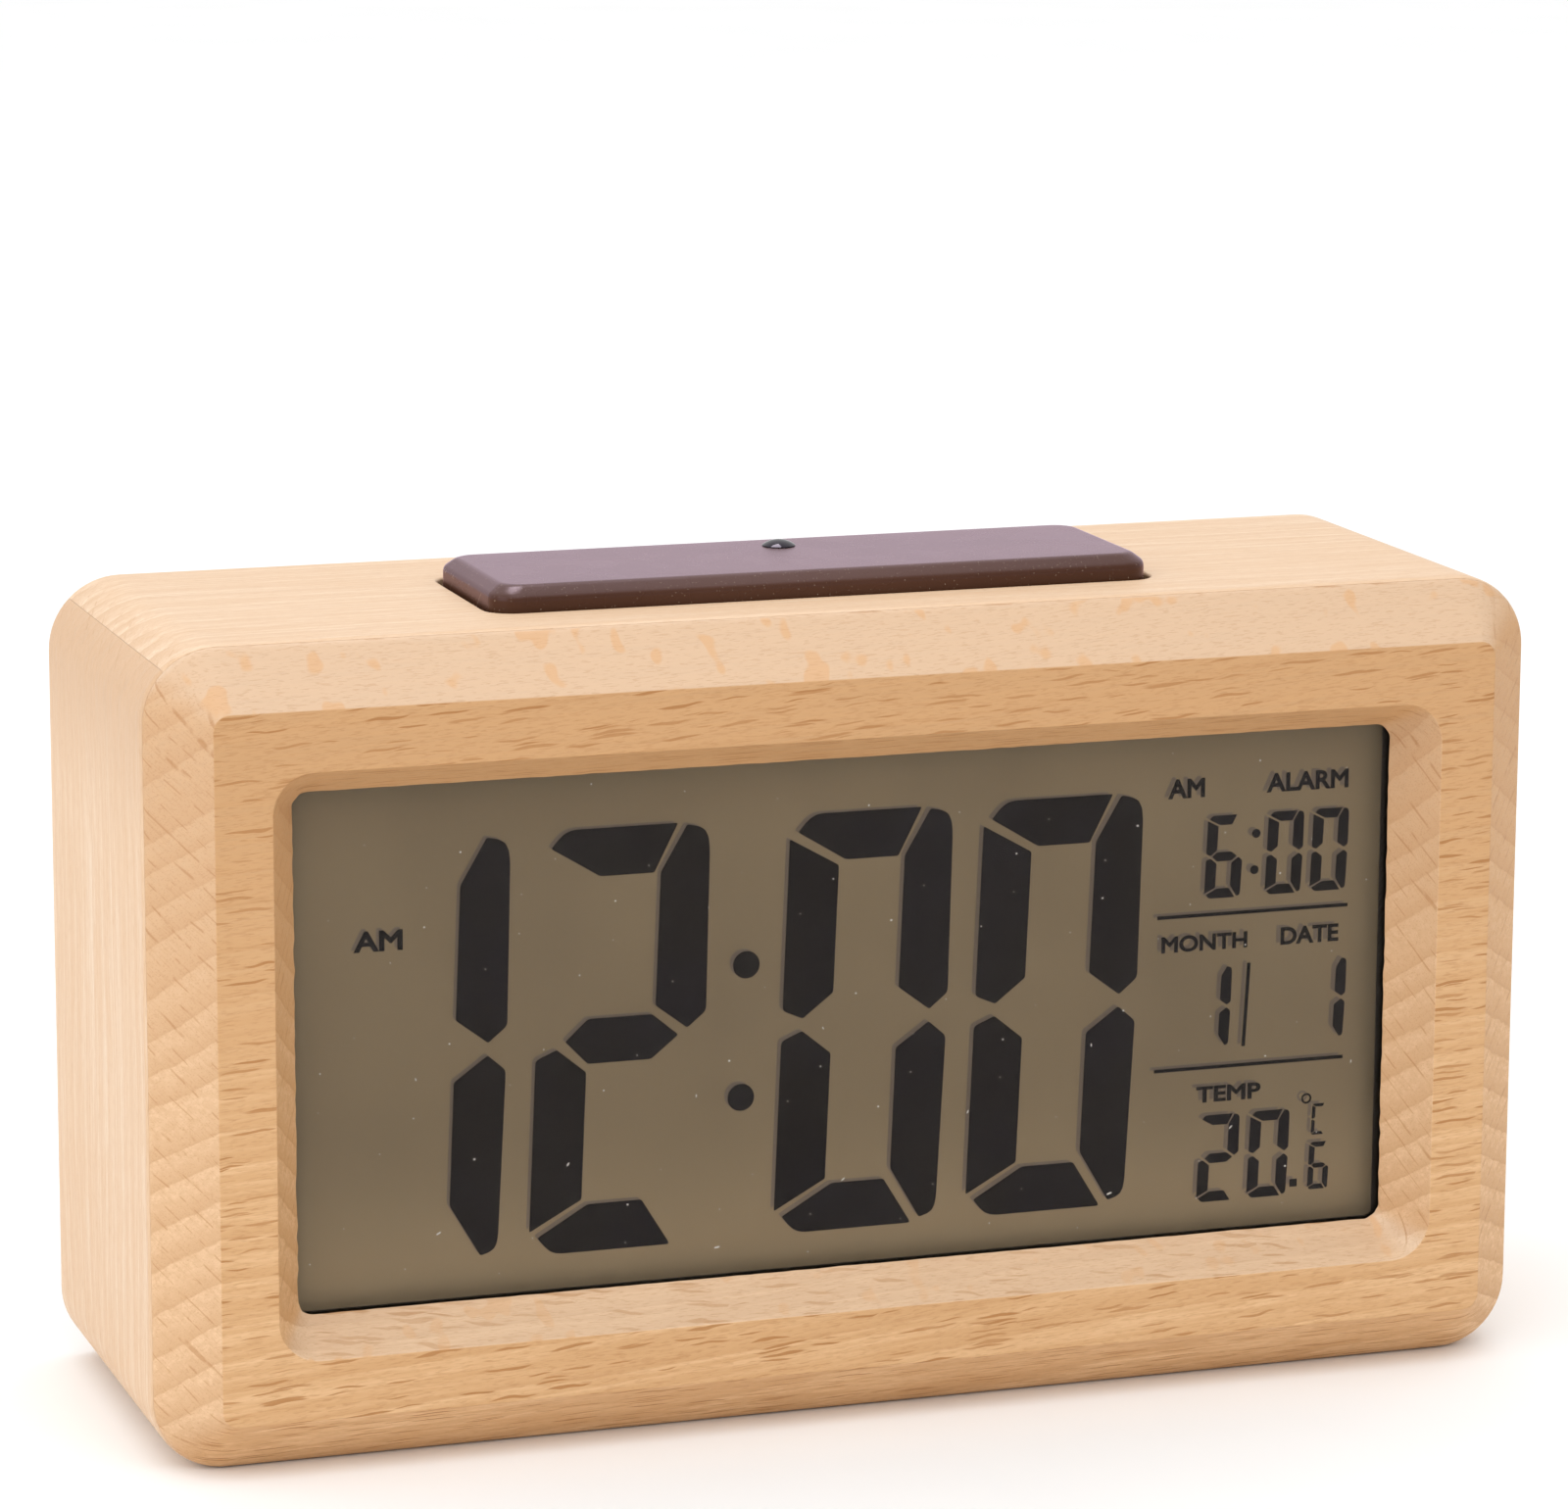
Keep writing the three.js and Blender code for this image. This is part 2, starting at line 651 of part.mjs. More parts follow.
function ledBoard() {
  const left = -glassHalf + FIT_GAP;
  const depths = [guideFront + FIT_GAP, frameFloor - FIT_GAP];
  const strip = box(
    [left, left + LED_BOARD_THICKNESS],
    depths,
    [middle - LED_BOARD_LENGTH / 2, middle + LED_BOARD_LENGTH / 2],
  );
  const diodes = Array.from({ length: LED_COUNT }, (_, i) => {
    const z = middle + (i - (LED_COUNT - 1) / 2) * LED_PITCH;
    const face = left + LED_BOARD_THICKNESS;
    return box(
      [face - LED_HEIGHT / 2, face + LED_HEIGHT],
      [depths[0] + FIT_GAP / 2, depths[1] - FIT_GAP / 2],
      [z - LED_SIZE / 2, z + LED_SIZE / 2],
    );
  });
  return join(strip, ...diodes);
}

// The resin sits on z = 0 as a flattened dome.
function chipPotting() {
  const profile = [new THREE.Vector2(0, 0)];
  for (let step = 0; step < DOME_STEPS; step++) {
    const angle = (step / DOME_STEPS) * (Math.PI / 2);
    profile.push(new THREE.Vector2(CHIP_RADIUS * Math.cos(angle), CHIP_HEIGHT * Math.sin(angle)));
  }
  profile.push(new THREE.Vector2(0, CHIP_HEIGHT));
  return new THREE.LatheGeometry(profile, KEY_SIDES).rotateX(Math.PI / 2);
}

// The crystal's can lies along X, on a foot that stands on z = 0.
function quartzCrystal() {
  const height = CRYSTAL_RADIUS + CRYSTAL_LIFT;
  const can = new THREE.CylinderGeometry(
    CRYSTAL_RADIUS,
    CRYSTAL_RADIUS,
    CRYSTAL_LENGTH,
    HOLE_SIDES,
  );
  can.rotateZ(Math.PI / 2);
  can.translate(0, 0, height);
  const foot = new THREE.BoxGeometry(CRYSTAL_LENGTH / 2, CRYSTAL_RADIUS, height);
  foot.translate(0, 0, height / 2);
  return geometryOf(join(solidOf(can), solidOf(foot)));
}

// Snooze bar and its carrier

function earScrewX() {
  return trayHalf + CARRIER_WALL + EAR_SCREW_INSET;
}

function snoozeBar() {
  const outline = (inset) =>
    roundedOutline(
      BAR_LENGTH / 2 - inset,
      BAR_DEPTH / 2 - inset,
      Math.max(BAR_CORNER - inset, BAR_INNER_CORNER),
      0,
      at(barMiddle),
    );
  const outer = solidOf(
    loft(
      [outline(0), outline(0), outline(BAR_CHAMFER_INSET)],
      [skirtBottom, barTop - BAR_CHAMFER_HEIGHT, barTop],
    ),
  );
  const hollow = solidOf(
    loft([outline(BAR_WALL), outline(BAR_WALL)], [skirtBottom - PAST, barUnderside]),
  );
  const lips = [-1, 1].map((side) => {
    const ends = [side * (BAR_LENGTH / 2 - BAR_WALL / 2), side * (BAR_LENGTH / 2 + LIP_REACH)];
    return box(
      ends.sort((a, b) => a - b),
      [BAR_SETBACK + LIP_INSET, BAR_SETBACK + BAR_DEPTH - LIP_INSET],
      [skirtBottom, cavityTop - FIT_GAP],
    );
  });
  const pusher = column(PUSHER_RADIUS, [pusherEnd, barUnderside + WELD], 0, SNOOZE_SWITCH_SETBACK);
  const posts = [-1, 1].map((side) =>
    column(
      SPRING_POST_RADIUS,
      [barUnderside - SPRING_POST_HEIGHT, barUnderside + WELD],
      side * springX,
      barMiddle,
      HOLE_SIDES,
    ),
  );
  const lensHole = column(
    LENS_STEM_RADIUS + FIT_GAP,
    [barUnderside - PAST, barTop + PAST],
    0,
    LENS_SETBACK,
  );
  return cut(join(cut(outer, hollow), ...lips, pusher, ...posts), lensHole);
}

// The lens's rim lies on z = 0. Its dome is a shallow cap, the top of a larger ball.
function sensorLens() {
  const ball = (LENS_RADIUS ** 2 + LENS_HEIGHT ** 2) / (2 * LENS_HEIGHT);
  const half = Math.asin(LENS_RADIUS / ball);
  const profile = [new THREE.Vector2(0, -LENS_STEM_LENGTH)];
  profile.push(new THREE.Vector2(LENS_STEM_RADIUS, -LENS_STEM_LENGTH));
  profile.push(new THREE.Vector2(LENS_STEM_RADIUS, 0));
  for (let step = 0; step < DOME_STEPS; step++) {
    const angle = half * (1 - step / DOME_STEPS);
    profile.push(
      new THREE.Vector2(ball * Math.sin(angle), ball * Math.cos(angle) - (ball - LENS_HEIGHT)),
    );
  }
  profile.push(new THREE.Vector2(0, LENS_HEIGHT));
  return new THREE.LatheGeometry(profile, KEY_SIDES).rotateX(Math.PI / 2);
}

function barCarrier() {
  const half = trayHalf + CARRIER_WALL;
  const floor = box([-half, half], [trayFront, trayBack], [carrierBottom, trayFloor]);
  const ends = [-1, 1].map((side) =>
    box(
      [side * trayHalf, side * half].sort((a, b) => a - b),
      [trayFront, trayBack],
      [carrierBottom, cavityTop],
    ),
  );
  const sides = [
    [trayFront, trayFront + CARRIER_WALL],
    [trayBack - CARRIER_WALL, trayBack],
  ].map((depths) => box([-half, half], depths, [carrierBottom, trayFloor + CARRIER_LOW_WALL]));
  const ears = [-1, 1].map((side) =>
    cut(
      box(
        [side * (half - WELD), side * (half + EAR_REACH)].sort((a, b) => a - b),
        [barMiddle - EAR_WIDTH / 2, barMiddle + EAR_WIDTH / 2],
        [cavityTop - EAR_THICKNESS, cavityTop],
      ),
      column(
        SHANK_RADIUS + FIT_GAP,
        [cavityTop - EAR_THICKNESS - PAST, cavityTop + PAST],
        side * earScrewX(),
        barMiddle,
        HOLE_SIDES,
      ),
    ),
  );
  const posts = [-1, 1].map((side) =>
    column(
      SPRING_POST_RADIUS,
      [trayFloor - WELD, trayFloor + SPRING_POST_HEIGHT],
      side * springX,
      barMiddle,
      HOLE_SIDES,
    ),
  );
  return join(floor, ...ends, ...sides, ...ears, ...posts);
}

function switchBoardDepths() {
  return [trayFront + CARRIER_WALL + FIT_GAP, trayBack - CARRIER_WALL - FIT_GAP];
}

// Push switches are modelled standing on z = 0, and pressed along -Z.
function switchBody() {
  const body = new THREE.BoxGeometry(SWITCH_SIDE, SWITCH_SIDE, SWITCH_HEIGHT);
  body.translate(0, 0, SWITCH_HEIGHT / 2);
  const pocket = new THREE.CylinderGeometry(
    PLUNGER_RADIUS + FIT_GAP,
    PLUNGER_RADIUS + FIT_GAP,
    2 * SWITCH_POCKET,
    PIN_SIDES,
  );
  pocket.rotateX(Math.PI / 2);
  pocket.translate(0, 0, SWITCH_HEIGHT);
  return geometryOf(cut(solidOf(body), solidOf(pocket)));
}

function switchPlunger(proud) {
  const length = PLUNGER_SUNK + proud;
  const plunger = new THREE.CylinderGeometry(PLUNGER_RADIUS, PLUNGER_RADIUS, length, PIN_SIDES);
  plunger.rotateX(Math.PI / 2);
  plunger.translate(0, 0, SWITCH_HEIGHT + proud - length / 2);
  return plunger;
}

// The light sensor stands on z = 0, with its dome upwards.
function lightSensor() {
  const shoulder = SENSOR_HEIGHT - SENSOR_RADIUS;
  const profile = [
    new THREE.Vector2(0, 0),
    new THREE.Vector2(SENSOR_FLANGE_RADIUS, 0),
    new THREE.Vector2(SENSOR_FLANGE_RADIUS, SENSOR_FLANGE_THICKNESS),
    new THREE.Vector2(SENSOR_RADIUS, SENSOR_FLANGE_THICKNESS),
  ];
  for (let step = 0; step < DOME_STEPS; step++) {
    const angle = (step / DOME_STEPS) * (Math.PI / 2);
    profile.push(
      new THREE.Vector2(
        SENSOR_RADIUS * Math.cos(angle),
        shoulder + SENSOR_RADIUS * Math.sin(angle),
      ),
    );
  }
  profile.push(new THREE.Vector2(0, SENSOR_HEIGHT));
  return new THREE.LatheGeometry(profile, PIN_SIDES).rotateX(Math.PI / 2);
}

// Rear cover, battery bay and door

function doorTabXs() {
  const left = bayLeft - DOOR_LEDGE + FIT_GAP + DOOR_TAB_INSET;
  const right = bayRight + DOOR_LEDGE - FIT_GAP - DOOR_TAB_INSET;
  return [left, right];
}

function rearCover() {
  const plate = box(
    [-cavityHalf + FIT_GAP, cavityHalf - FIT_GAP],
    [coverFront, coverBack],
    [cavityBottom + FIT_GAP, cavityTop - FIT_GAP],
  );
  const shell = box(
    [bayLeft - BAY_WALL, bayRight + BAY_WALL],
    [bayFloor - BAY_WALL, coverFront + WELD],
    [bayBottom - BAY_WALL, bayTop + BAY_WALL],
  );
  const bay = box([bayLeft, bayRight], [bayFloor, coverBack + PAST], [bayBottom, bayTop]);
  const doorway = box(
    [bayLeft - DOOR_LEDGE, bayRight + DOOR_LEDGE],
    [coverFront, coverBack + PAST],
    [bayBottom - DOOR_LEDGE, bayTop + DOOR_LEDGE],
  );
  const swing = Math.hypot(COVER_THICKNESS + FIT_GAP + DOOR_TAB_THICKNESS, DOOR_TAB_REACH) + FIT_GAP;
  const tabNotches = doorTabXs().map((x) =>
    box(
      [x - DOOR_TAB_WIDTH / 2 - FIT_GAP, x + DOOR_TAB_WIDTH / 2 + FIT_GAP],
      [coverBack - swing, coverFront],
      [doorHinge - DOOR_TAB_REACH - FIT_GAP, bayBottom + PAST],
    ),
  );
  const noseNotch = box(
    [bayMiddle() - DOOR_NOTCH_LENGTH / 2, bayMiddle() + DOOR_NOTCH_LENGTH / 2],
    [coverFront + DOOR_NOSE_SETBACK, coverBack + PAST],
    [bayTop, bayTop + DOOR_LEDGE + DOOR_NOTCH_DEPTH],
  );
  const leadSlot = contactTailSlot(bayLeft, -1, CELL_COUNT - 1);
  const plusSlot = contactTailSlot(bayRight, 1, 0);
  const screwHoles = postPlaces().flatMap(([x, z]) => [
    pin(SHANK_RADIUS + FIT_GAP, [coverFront - PAST, coverBack + PAST], x, z, HOLE_SIDES),
    pin(HEAD_RADIUS + FIT_GAP, [screwSeat, coverBack + PAST], x, z),
  ]);
  const keyHoles = keyXs.map((x) =>
    pin(KEY_RADIUS + FIT_GAP, [coverFront - PAST, coverBack + PAST], x, keyRow, KEY_SIDES),
  );
  const slideSlot = box(
    [slideX - SLIDE_STEM / 2 - FIT_GAP, slideX + SLIDE_STEM / 2 + SLIDE_TRAVEL + FIT_GAP],
    [coverFront - PAST, coverBack + PAST],
    [slideHeight - SLIDE_STEM / 2 - FIT_GAP, slideHeight + SLIDE_STEM / 2 + FIT_GAP],
  );
  const soundHoles = Array.from({ length: SOUND_HOLE_COUNT + 1 }, (_, i) => {
    const angle = (i / SOUND_HOLE_COUNT) * 2 * Math.PI;
    const reach = i < SOUND_HOLE_COUNT ? SOUND_RING_RADIUS : 0;
    return pin(
      SOUND_HOLE_RADIUS,
      [coverFront - PAST, coverBack + PAST],
      buzzerX + reach * Math.cos(angle),
      buzzerHeight + reach * Math.sin(angle),
      SOUND_HOLE_SIDES,
    );
  });
  const vents = Array.from({ length: VENT_COUNT }, (_, i) => {
    const z = ventHeight + (i - (VENT_COUNT - 1) / 2) * VENT_PITCH;
    return box(
      [ventX - VENT_WIDTH / 2, ventX + VENT_WIDTH / 2],
      [coverFront - PAST, coverBack + PAST],
      [z - VENT_HEIGHT / 2, z + VENT_HEIGHT / 2],
    );
  });
  const bosses = keyStakePlaces().flatMap(([x, z]) => [
    pin(STANDOFF_RADIUS, [keyBoardBack, coverFront + WELD], x, z, HOLE_SIDES),
    pin(STAKE_RADIUS, [keyBoardFront - STAKE_PROUD, keyBoardBack + WELD], x, z, HOLE_SIDES),
  ]);
  const open = cut(
    join(plate, shell),
    bay,
    doorway,
    ...tabNotches,
    noseNotch,
    leadSlot,
    plusSlot,
    ...screwHoles,
    ...keyHoles,
    slideSlot,
    ...soundHoles,
    ...vents,
  );
  return join(open, ...bosses);
}

function bayMiddle() {
  return (bayLeft + bayRight) / 2;
}

function contactTailSlot(wall, side, cell) {
  const z = cellHeight(cell);
  return box(
    [wall - side * PAST, wall + side * (BAY_WALL + PAST)].sort((a, b) => a - b),
    [bayFloor, bayFloor + CONTACT_THICKNESS + 2 * FIT_GAP],
    [z - CONTACT_TAIL_WIDTH / 2 - FIT_GAP, z + CONTACT_TAIL_WIDTH / 2 + FIT_GAP],
  );
}

// The door's tabs hook behind the cover, and it swings about the lower edge of its outer face.
function batteryDoor() {
  const left = bayLeft - DOOR_LEDGE + FIT_GAP;
  const right = bayRight + DOOR_LEDGE - FIT_GAP;
  const inner = coverFront + FIT_GAP;
  const top = bayTop + DOOR_LEDGE - FIT_GAP;
  const plate = box([left, right], [inner, coverBack], [doorHinge, top]);
  const tabBack = coverFront - FIT_GAP;
  const tabs = doorTabXs().flatMap((x) => {
    const width = [x - DOOR_TAB_WIDTH / 2, x + DOOR_TAB_WIDTH / 2];
    return [
      box(width, [tabBack - DOOR_TAB_THICKNESS, tabBack], [doorHinge - DOOR_TAB_REACH, bayBottom]),
      box(width, [tabBack - DOOR_TAB_THICKNESS, inner + WELD], [doorHinge, bayBottom]),
    ];
  });
  const nose = box(
    [bayMiddle() - DOOR_NOSE_WIDTH / 2, bayMiddle() + DOOR_NOSE_WIDTH / 2],
    [coverFront + DOOR_NOSE_SETBACK + FIT_GAP, coverBack],
    [top - WELD, top + DOOR_NOTCH_DEPTH],
  );
  return join(plate, ...tabs, nose);
}

// A cell is modelled about its middle, with its nub towards +X.
function batteryCell() {
  const half = CELL_LENGTH / 2;
  const shoulder = half - CELL_NUB_LENGTH;
  const profile = [
    [0, -half],
    [CELL_RADIUS - CELL_EDGE, -half],
    [CELL_RADIUS, -half + CELL_EDGE],
    [CELL_RADIUS, shoulder - CELL_EDGE],
    [CELL_RADIUS - CELL_EDGE, shoulder],
    [CELL_NUB_RADIUS, shoulder],
    [CELL_NUB_RADIUS, half],
    [0, half],
  ].map(([r, y]) => new THREE.Vector2(r, y));
  return new THREE.LatheGeometry(profile, CELL_SIDES).rotateZ(-Math.PI / 2);
}

// A contact's blade lies on the bay's end wall: side -1 is the left wall, 1 the right wall.
function contactBlade(side, cells) {
  const wall = side < 0 ? bayLeft : bayRight;
  const low = Math.min(...cells.map(cellHeight)) - CONTACT_HEIGHT / 2;
  const high = Math.max(...cells.map(cellHeight)) + CONTACT_HEIGHT / 2;
  return box(
    [wall, wall - side * CONTACT_THICKNESS].sort((a, b) => a - b),
    [bayFloor + FIT_GAP, cellDepth + CONTACT_HEIGHT / 2],
    [low, high],
  );
}

function contactSpring(side, cell) {
  const seat = (side < 0 ? bayLeft : bayRight) - side * CONTACT_THICKNESS;
  const start = SPRING_WIRE_RADIUS - SPRING_WELD;
  const length = CONTACT_SPRING_LENGTH - start - SPRING_WIRE_RADIUS - FIT_GAP / 2;
  const coil = spring(CONTACT_SPRING_BASE, CONTACT_SPRING_TIP, length, CONTACT_SPRING_CURLS);
  coil.rotateY((-side * Math.PI) / 2);
  coil.translate(seat - side * start, at(cellDepth), cellHeight(cell));
  return solidOf(coil);
}

// The tail leaves through the bay's wall and ends outside it, where the board or lead is soldered.
function contactTail(side, cell, reach) {
  const wall = side < 0 ? bayLeft : bayRight;
  const z = cellHeight(cell);
  return box(
    [wall - side * CONTACT_THICKNESS, wall + side * (BAY_WALL + reach)].sort((a, b) => a - b),
    [bayFloor + FIT_GAP, bayFloor + FIT_GAP + CONTACT_THICKNESS],
    [z - CONTACT_TAIL_WIDTH / 2, z + CONTACT_TAIL_WIDTH / 2],
  );
}

function plusContact() {
  const reach = keyBoardLeft + STAKE_INSET / 2 - bayRight - BAY_WALL;
  const end = bayRight + BAY_WALL + reach;
  const z = cellHeight(0);
  const upturn = box(
    [end - CONTACT_THICKNESS, end],
    [bayFloor + FIT_GAP, keyBoardFront],
    [z - CONTACT_TAIL_WIDTH / 2, z + CONTACT_TAIL_WIDTH / 2],
  );
  return join(contactBlade(1, [0]), contactTail(1, 0, reach), upturn);
}

function minusContact() {
  const last = CELL_COUNT - 1;
  return join(contactBlade(-1, [last]), contactSpring(-1, last), contactTail(-1, last, CONTACT_TAIL_REACH));
}

function leftBridge() {
  return join(contactBlade(-1, [0, 1]), contactSpring(-1, 0));
}

function rightBridge() {
  return join(contactBlade(1, [1, 2]), contactSpring(1, 1));
}

// The wire leaves the tail, runs in front of the bay and ends on the key board, past points
// chosen by hand.
function batteryLead() {
  const last = CELL_COUNT - 1;
  const z = cellHeight(last);
  const left = bayLeft - BAY_WALL - CONTACT_TAIL_REACH;
  const tail = bayFloor + FIT_GAP;
  const run = bayFloor - BAY_WALL - LEAD_CLEARANCE;
  const end = keyBoardLeft + STAKE_INSET / 2;
  const route = [
    [left, tail - FIT_GAP, z],
    [left, tail - LEAD_RADIUS - FIT_GAP, z],
    [left + LEAD_RADIUS, run + LEAD_RADIUS / 2, z],
    [left + LEAD_BEND, run, z],
    [(left + end) / 2, run - LEAD_RADIUS, z + LEAD_BEND],
    [end - LEAD_BEND, run, z],
    [end - LEAD_RADIUS, run + 2 * LEAD_RADIUS, z],
    [end, run + LEAD_BEND, z],
    [end, keyBoardFront - FIT_GAP, z],
  ].map(([x, depth, height]) => new THREE.Vector3(x, at(depth), height));
  const curve = new THREE.CatmullRomCurve3(route, false, "centripetal");
  return tube(curve, LEAD_RADIUS, LEAD_SIDES, LEAD_STEPS);
}

// Key board and what stands on it

function keyStakePlaces() {
  const xs = [keyBoardLeft + STAKE_INSET, keyBoardRight - STAKE_INSET];
  const zs = [KEY_BOARD_BOTTOM + STAKE_INSET, keyBoardTop - STAKE_INSET];
  return xs.flatMap((x) => zs.map((z) => [x, z]));
}

function keyBoard() {
  const board = box(
    [keyBoardLeft, keyBoardRight],
    [keyBoardFront, keyBoardBack],
    [KEY_BOARD_BOTTOM, keyBoardTop],
  );
  return cut(board, ...keyStakePlaces().map(([x, z]) =>
    pin(STAKE_RADIUS + FIT_GAP, [keyBoardFront - PAST, keyBoardBack + PAST], x, z, HOLE_SIDES),
  ));
}

// A key is modelled standing on z = 0, with its face towards +Z.
function pushKey() {
  const height = coverBack + KEY_PROUD - keyFront;
  const profile = [
    [0, 0],
    [KEY_FLANGE_RADIUS, 0],
    [KEY_FLANGE_RADIUS, KEY_FLANGE_THICKNESS],
    [KEY_RADIUS, KEY_FLANGE_THICKNESS],
    [KEY_RADIUS, height - KEY_EDGE],
    [KEY_RADIUS - KEY_EDGE, height],
    [0, height],
  ].map(([r, y]) => new THREE.Vector2(r, y));
  return new THREE.LatheGeometry(profile, KEY_SIDES).rotateX(Math.PI / 2);
}

function slideBody() {
  const heights = [slideHeight - SLIDE_WIDTH / 2, slideHeight + SLIDE_WIDTH / 2];
  const centre = slideX + SLIDE_TRAVEL / 2;
  const block = box(
    [centre - SLIDE_LENGTH / 2, centre + SLIDE_LENGTH / 2],
    [keyBoardBack, keyBoardBack + SLIDE_HEIGHT],
    heights,
  );
  const channel = box(
    [slideX - SLIDE_STEM / 2 - RUNNING_GAP, slideX + SLIDE_STEM / 2 + SLIDE_TRAVEL + RUNNING_GAP],
    [keyBoardBack + SLIDE_FLOOR, keyBoardBack + SLIDE_HEIGHT + PAST],
    [slideHeight - SLIDE_STEM / 2 - RUNNING_GAP, slideHeight + SLIDE_STEM / 2 + RUNNING_GAP],
  );
  return cut(block, channel);
}

function slideKnob() {
  return box(
    [slideX - SLIDE_STEM / 2, slideX + SLIDE_STEM / 2],
    [keyBoardBack + SLIDE_FLOOR + FIT_GAP, coverBack + KEY_PROUD],
    [slideHeight - SLIDE_STEM / 2, slideHeight + SLIDE_STEM / 2],
  );
}

// The sounder stands on z = 0, with its port towards +Z.
function buzzer() {
  const height = coverFront - BUZZER_GAP - keyBoardBack;
  const profile = [
    [0, 0],
    [BUZZER_RADIUS, 0],
    [BUZZER_RADIUS, height],
    [BUZZER_PORT_RADIUS, height],
    [BUZZER_PORT_RADIUS, height - BUZZER_WALL],
    [0, height - BUZZER_WALL],
  ].map(([r, y]) => new THREE.Vector2(r, y));
  return new THREE.LatheGeometry(profile, KEY_SIDES).rotateX(Math.PI / 2);
}

// The bead stands on z = 0 on its leg.
function temperatureBead() {
  const neck = Math.asin(BEAD_LEG_RADIUS / BEAD_RADIUS);
  const centre = BEAD_LEG_LENGTH + BEAD_RADIUS * Math.cos(neck);
  const profile = [new THREE.Vector2(0, 0), new THREE.Vector2(BEAD_LEG_RADIUS, 0)];
  const steps = 2 * DOME_STEPS;
  for (let step = 0; step < steps; step++) {
    const angle = THREE.MathUtils.lerp(neck, Math.PI, step / steps);
    profile.push(
      new THREE.Vector2(BEAD_RADIUS * Math.sin(angle), centre - BEAD_RADIUS * Math.cos(angle)),
    );
  }
  profile.push(new THREE.Vector2(0, centre + BEAD_RADIUS));
  return new THREE.LatheGeometry(profile, HOLE_SIDES).rotateX(Math.PI / 2);
}

// A route of depths and heights whose inner corners are rounded
function rounded(corners, radius) {
  const points = corners.map(([depth, z]) => new THREE.Vector2(depth, z));
  const route = [points[0]];
  for (let i = 1; i + 1 < points.length; i++) {
    const corner = points[i];
    const sides = [points[i - 1], points[i + 1]].map((p) => p.clone().sub(corner));
    const reach = Math.min(radius, ...sides.map((side) => side.length() / 2));
    const [before, after] = sides.map((side) => side.setLength(reach).add(corner));
    route.push(...new THREE.QuadraticBezierCurve(before, corner, after).getPoints(BEND_STEPS));
  }
  route.push(points[points.length - 1]);
  return route.map((p) => [p.x, p.y]);
}

// A flat cable: a band of even thickness along a route of depths and heights, wide along X
function ribbon(route, x, width) {
  const path = route.map(([depth, z]) => new THREE.Vector2(-at(depth), z));
  const half = RIBBON_THICKNESS / 2;
  const sideways = (i) => {
    const before = path[Math.max(i - 1, 0)];
    const after = path[Math.min(i + 1, path.length - 1)];
    const along = after.clone().sub(before).normalize();
    return new THREE.Vector2(-along.y, along.x).multiplyScalar(half);
  };
  const over = path.map((p, i) => p.clone().add(sideways(i)));
  const under = path.map((p, i) => p.clone().sub(sideways(i))).reverse();
  const outline = over.concat(under);
  if (THREE.ShapeUtils.area(outline) < 0) outline.reverse();
  const band = loft([outline, outline], [x - width / 2, x + width / 2]);
  // The outline's axes are (-Y, Z) and the loft's is X.
  band.applyMatrix4(new THREE.Matrix4().set(0, 0, 1, 0, -1, 0, 0, 0, 0, 1, 0, 0, 0, 0, 0, 1));
  band.index.array.reverse();
  return band;
}

function switchRibbon() {
  const [, top] = mainPcbHeights();
  const start = top - STAKE_INSET;
  const bed = Math.max(trayFloor + CARRIER_LOW_WALL, switchBoardTop);
  const lie = bed + FIT_GAP + RIBBON_THICKNESS / 2;
  const rise = trayFront - SWITCH_RIBBON_GAP;
  const corners = [
    [mainPcbBack + FIT_GAP, start],
    [rise, start],
    [rise, lie],
    [switchBoardDepths()[0] + SWITCH_RIBBON_LAP, lie],
  ];
  return ribbon(
    rounded(corners, RIBBON_BEND),
    -SWITCH_BOARD_LENGTH / 2 + SWITCH_RIBBON_WIDTH / 2 + FIT_GAP,
    SWITCH_RIBBON_WIDTH,
  );
}

function displayRibbon() {
  const [bottom, top] = mainPcbHeights();
  const start = (bottom + top) / 2;
  const from = mainPcbBack + FIT_GAP;
  const to = keyBoardFront - FIT_GAP;
  const route = Array.from({ length: WAVE_STEPS + 1 }, (_, i) => {
    const share = i / WAVE_STEPS;
    return [from + (to - from) * share, start + RIBBON_BEND * (1 - Math.cos(2 * Math.PI * share))];
  });
  return ribbon(route, keyBoardMiddle, RIBBON_WIDTH);
}

// A screw is modelled with its head on z = 0 and its shank towards -Z.
function screw(length) {
  const profile = [
    [0, -length],
    [SHANK_RADIUS, -length + SHANK_RADIUS],
    [SHANK_RADIUS, 0],
    [HEAD_RADIUS, 0],
    [HEAD_RADIUS, HEAD_RIM],
    [HEAD_FLAT_RADIUS, HEAD_HEIGHT],
    [0, HEAD_HEIGHT],
  ].map(([r, y]) => new THREE.Vector2(r, y));
  const body = solidOf(new THREE.LatheGeometry(profile, HOLE_SIDES).rotateX(Math.PI / 2));
  const arms = [
    [RECESS_LENGTH, RECESS_WIDTH],
    [RECESS_WIDTH, RECESS_LENGTH],
  ].map(([w, d]) => {
    const arm = new THREE.BoxGeometry(w, d, 2 * RECESS_DEPTH);
    arm.translate(0, 0, HEAD_HEIGHT);
    return solidOf(arm);
  });
  return geometryOf(cut(body, ...arms));
}

// Assembly

const clock = new THREE.Group();
clock.name = "alarm_clock";

function add(name, shape, material, parent = clock) {
  const geometry = shape.isBufferGeometry ? shape : geometryOf(shape);
  const mesh = new THREE.Mesh(geometry, material);
  mesh.name = name;
  parent.add(mesh);
  return mesh;
}

// A piece that faces the back: its own +Z turned to +Y
function facingBack(mesh, x, depth, z) {
  mesh.rotation.x = -Math.PI / 2;
  mesh.position.set(x, at(depth), z);
  return mesh;
}

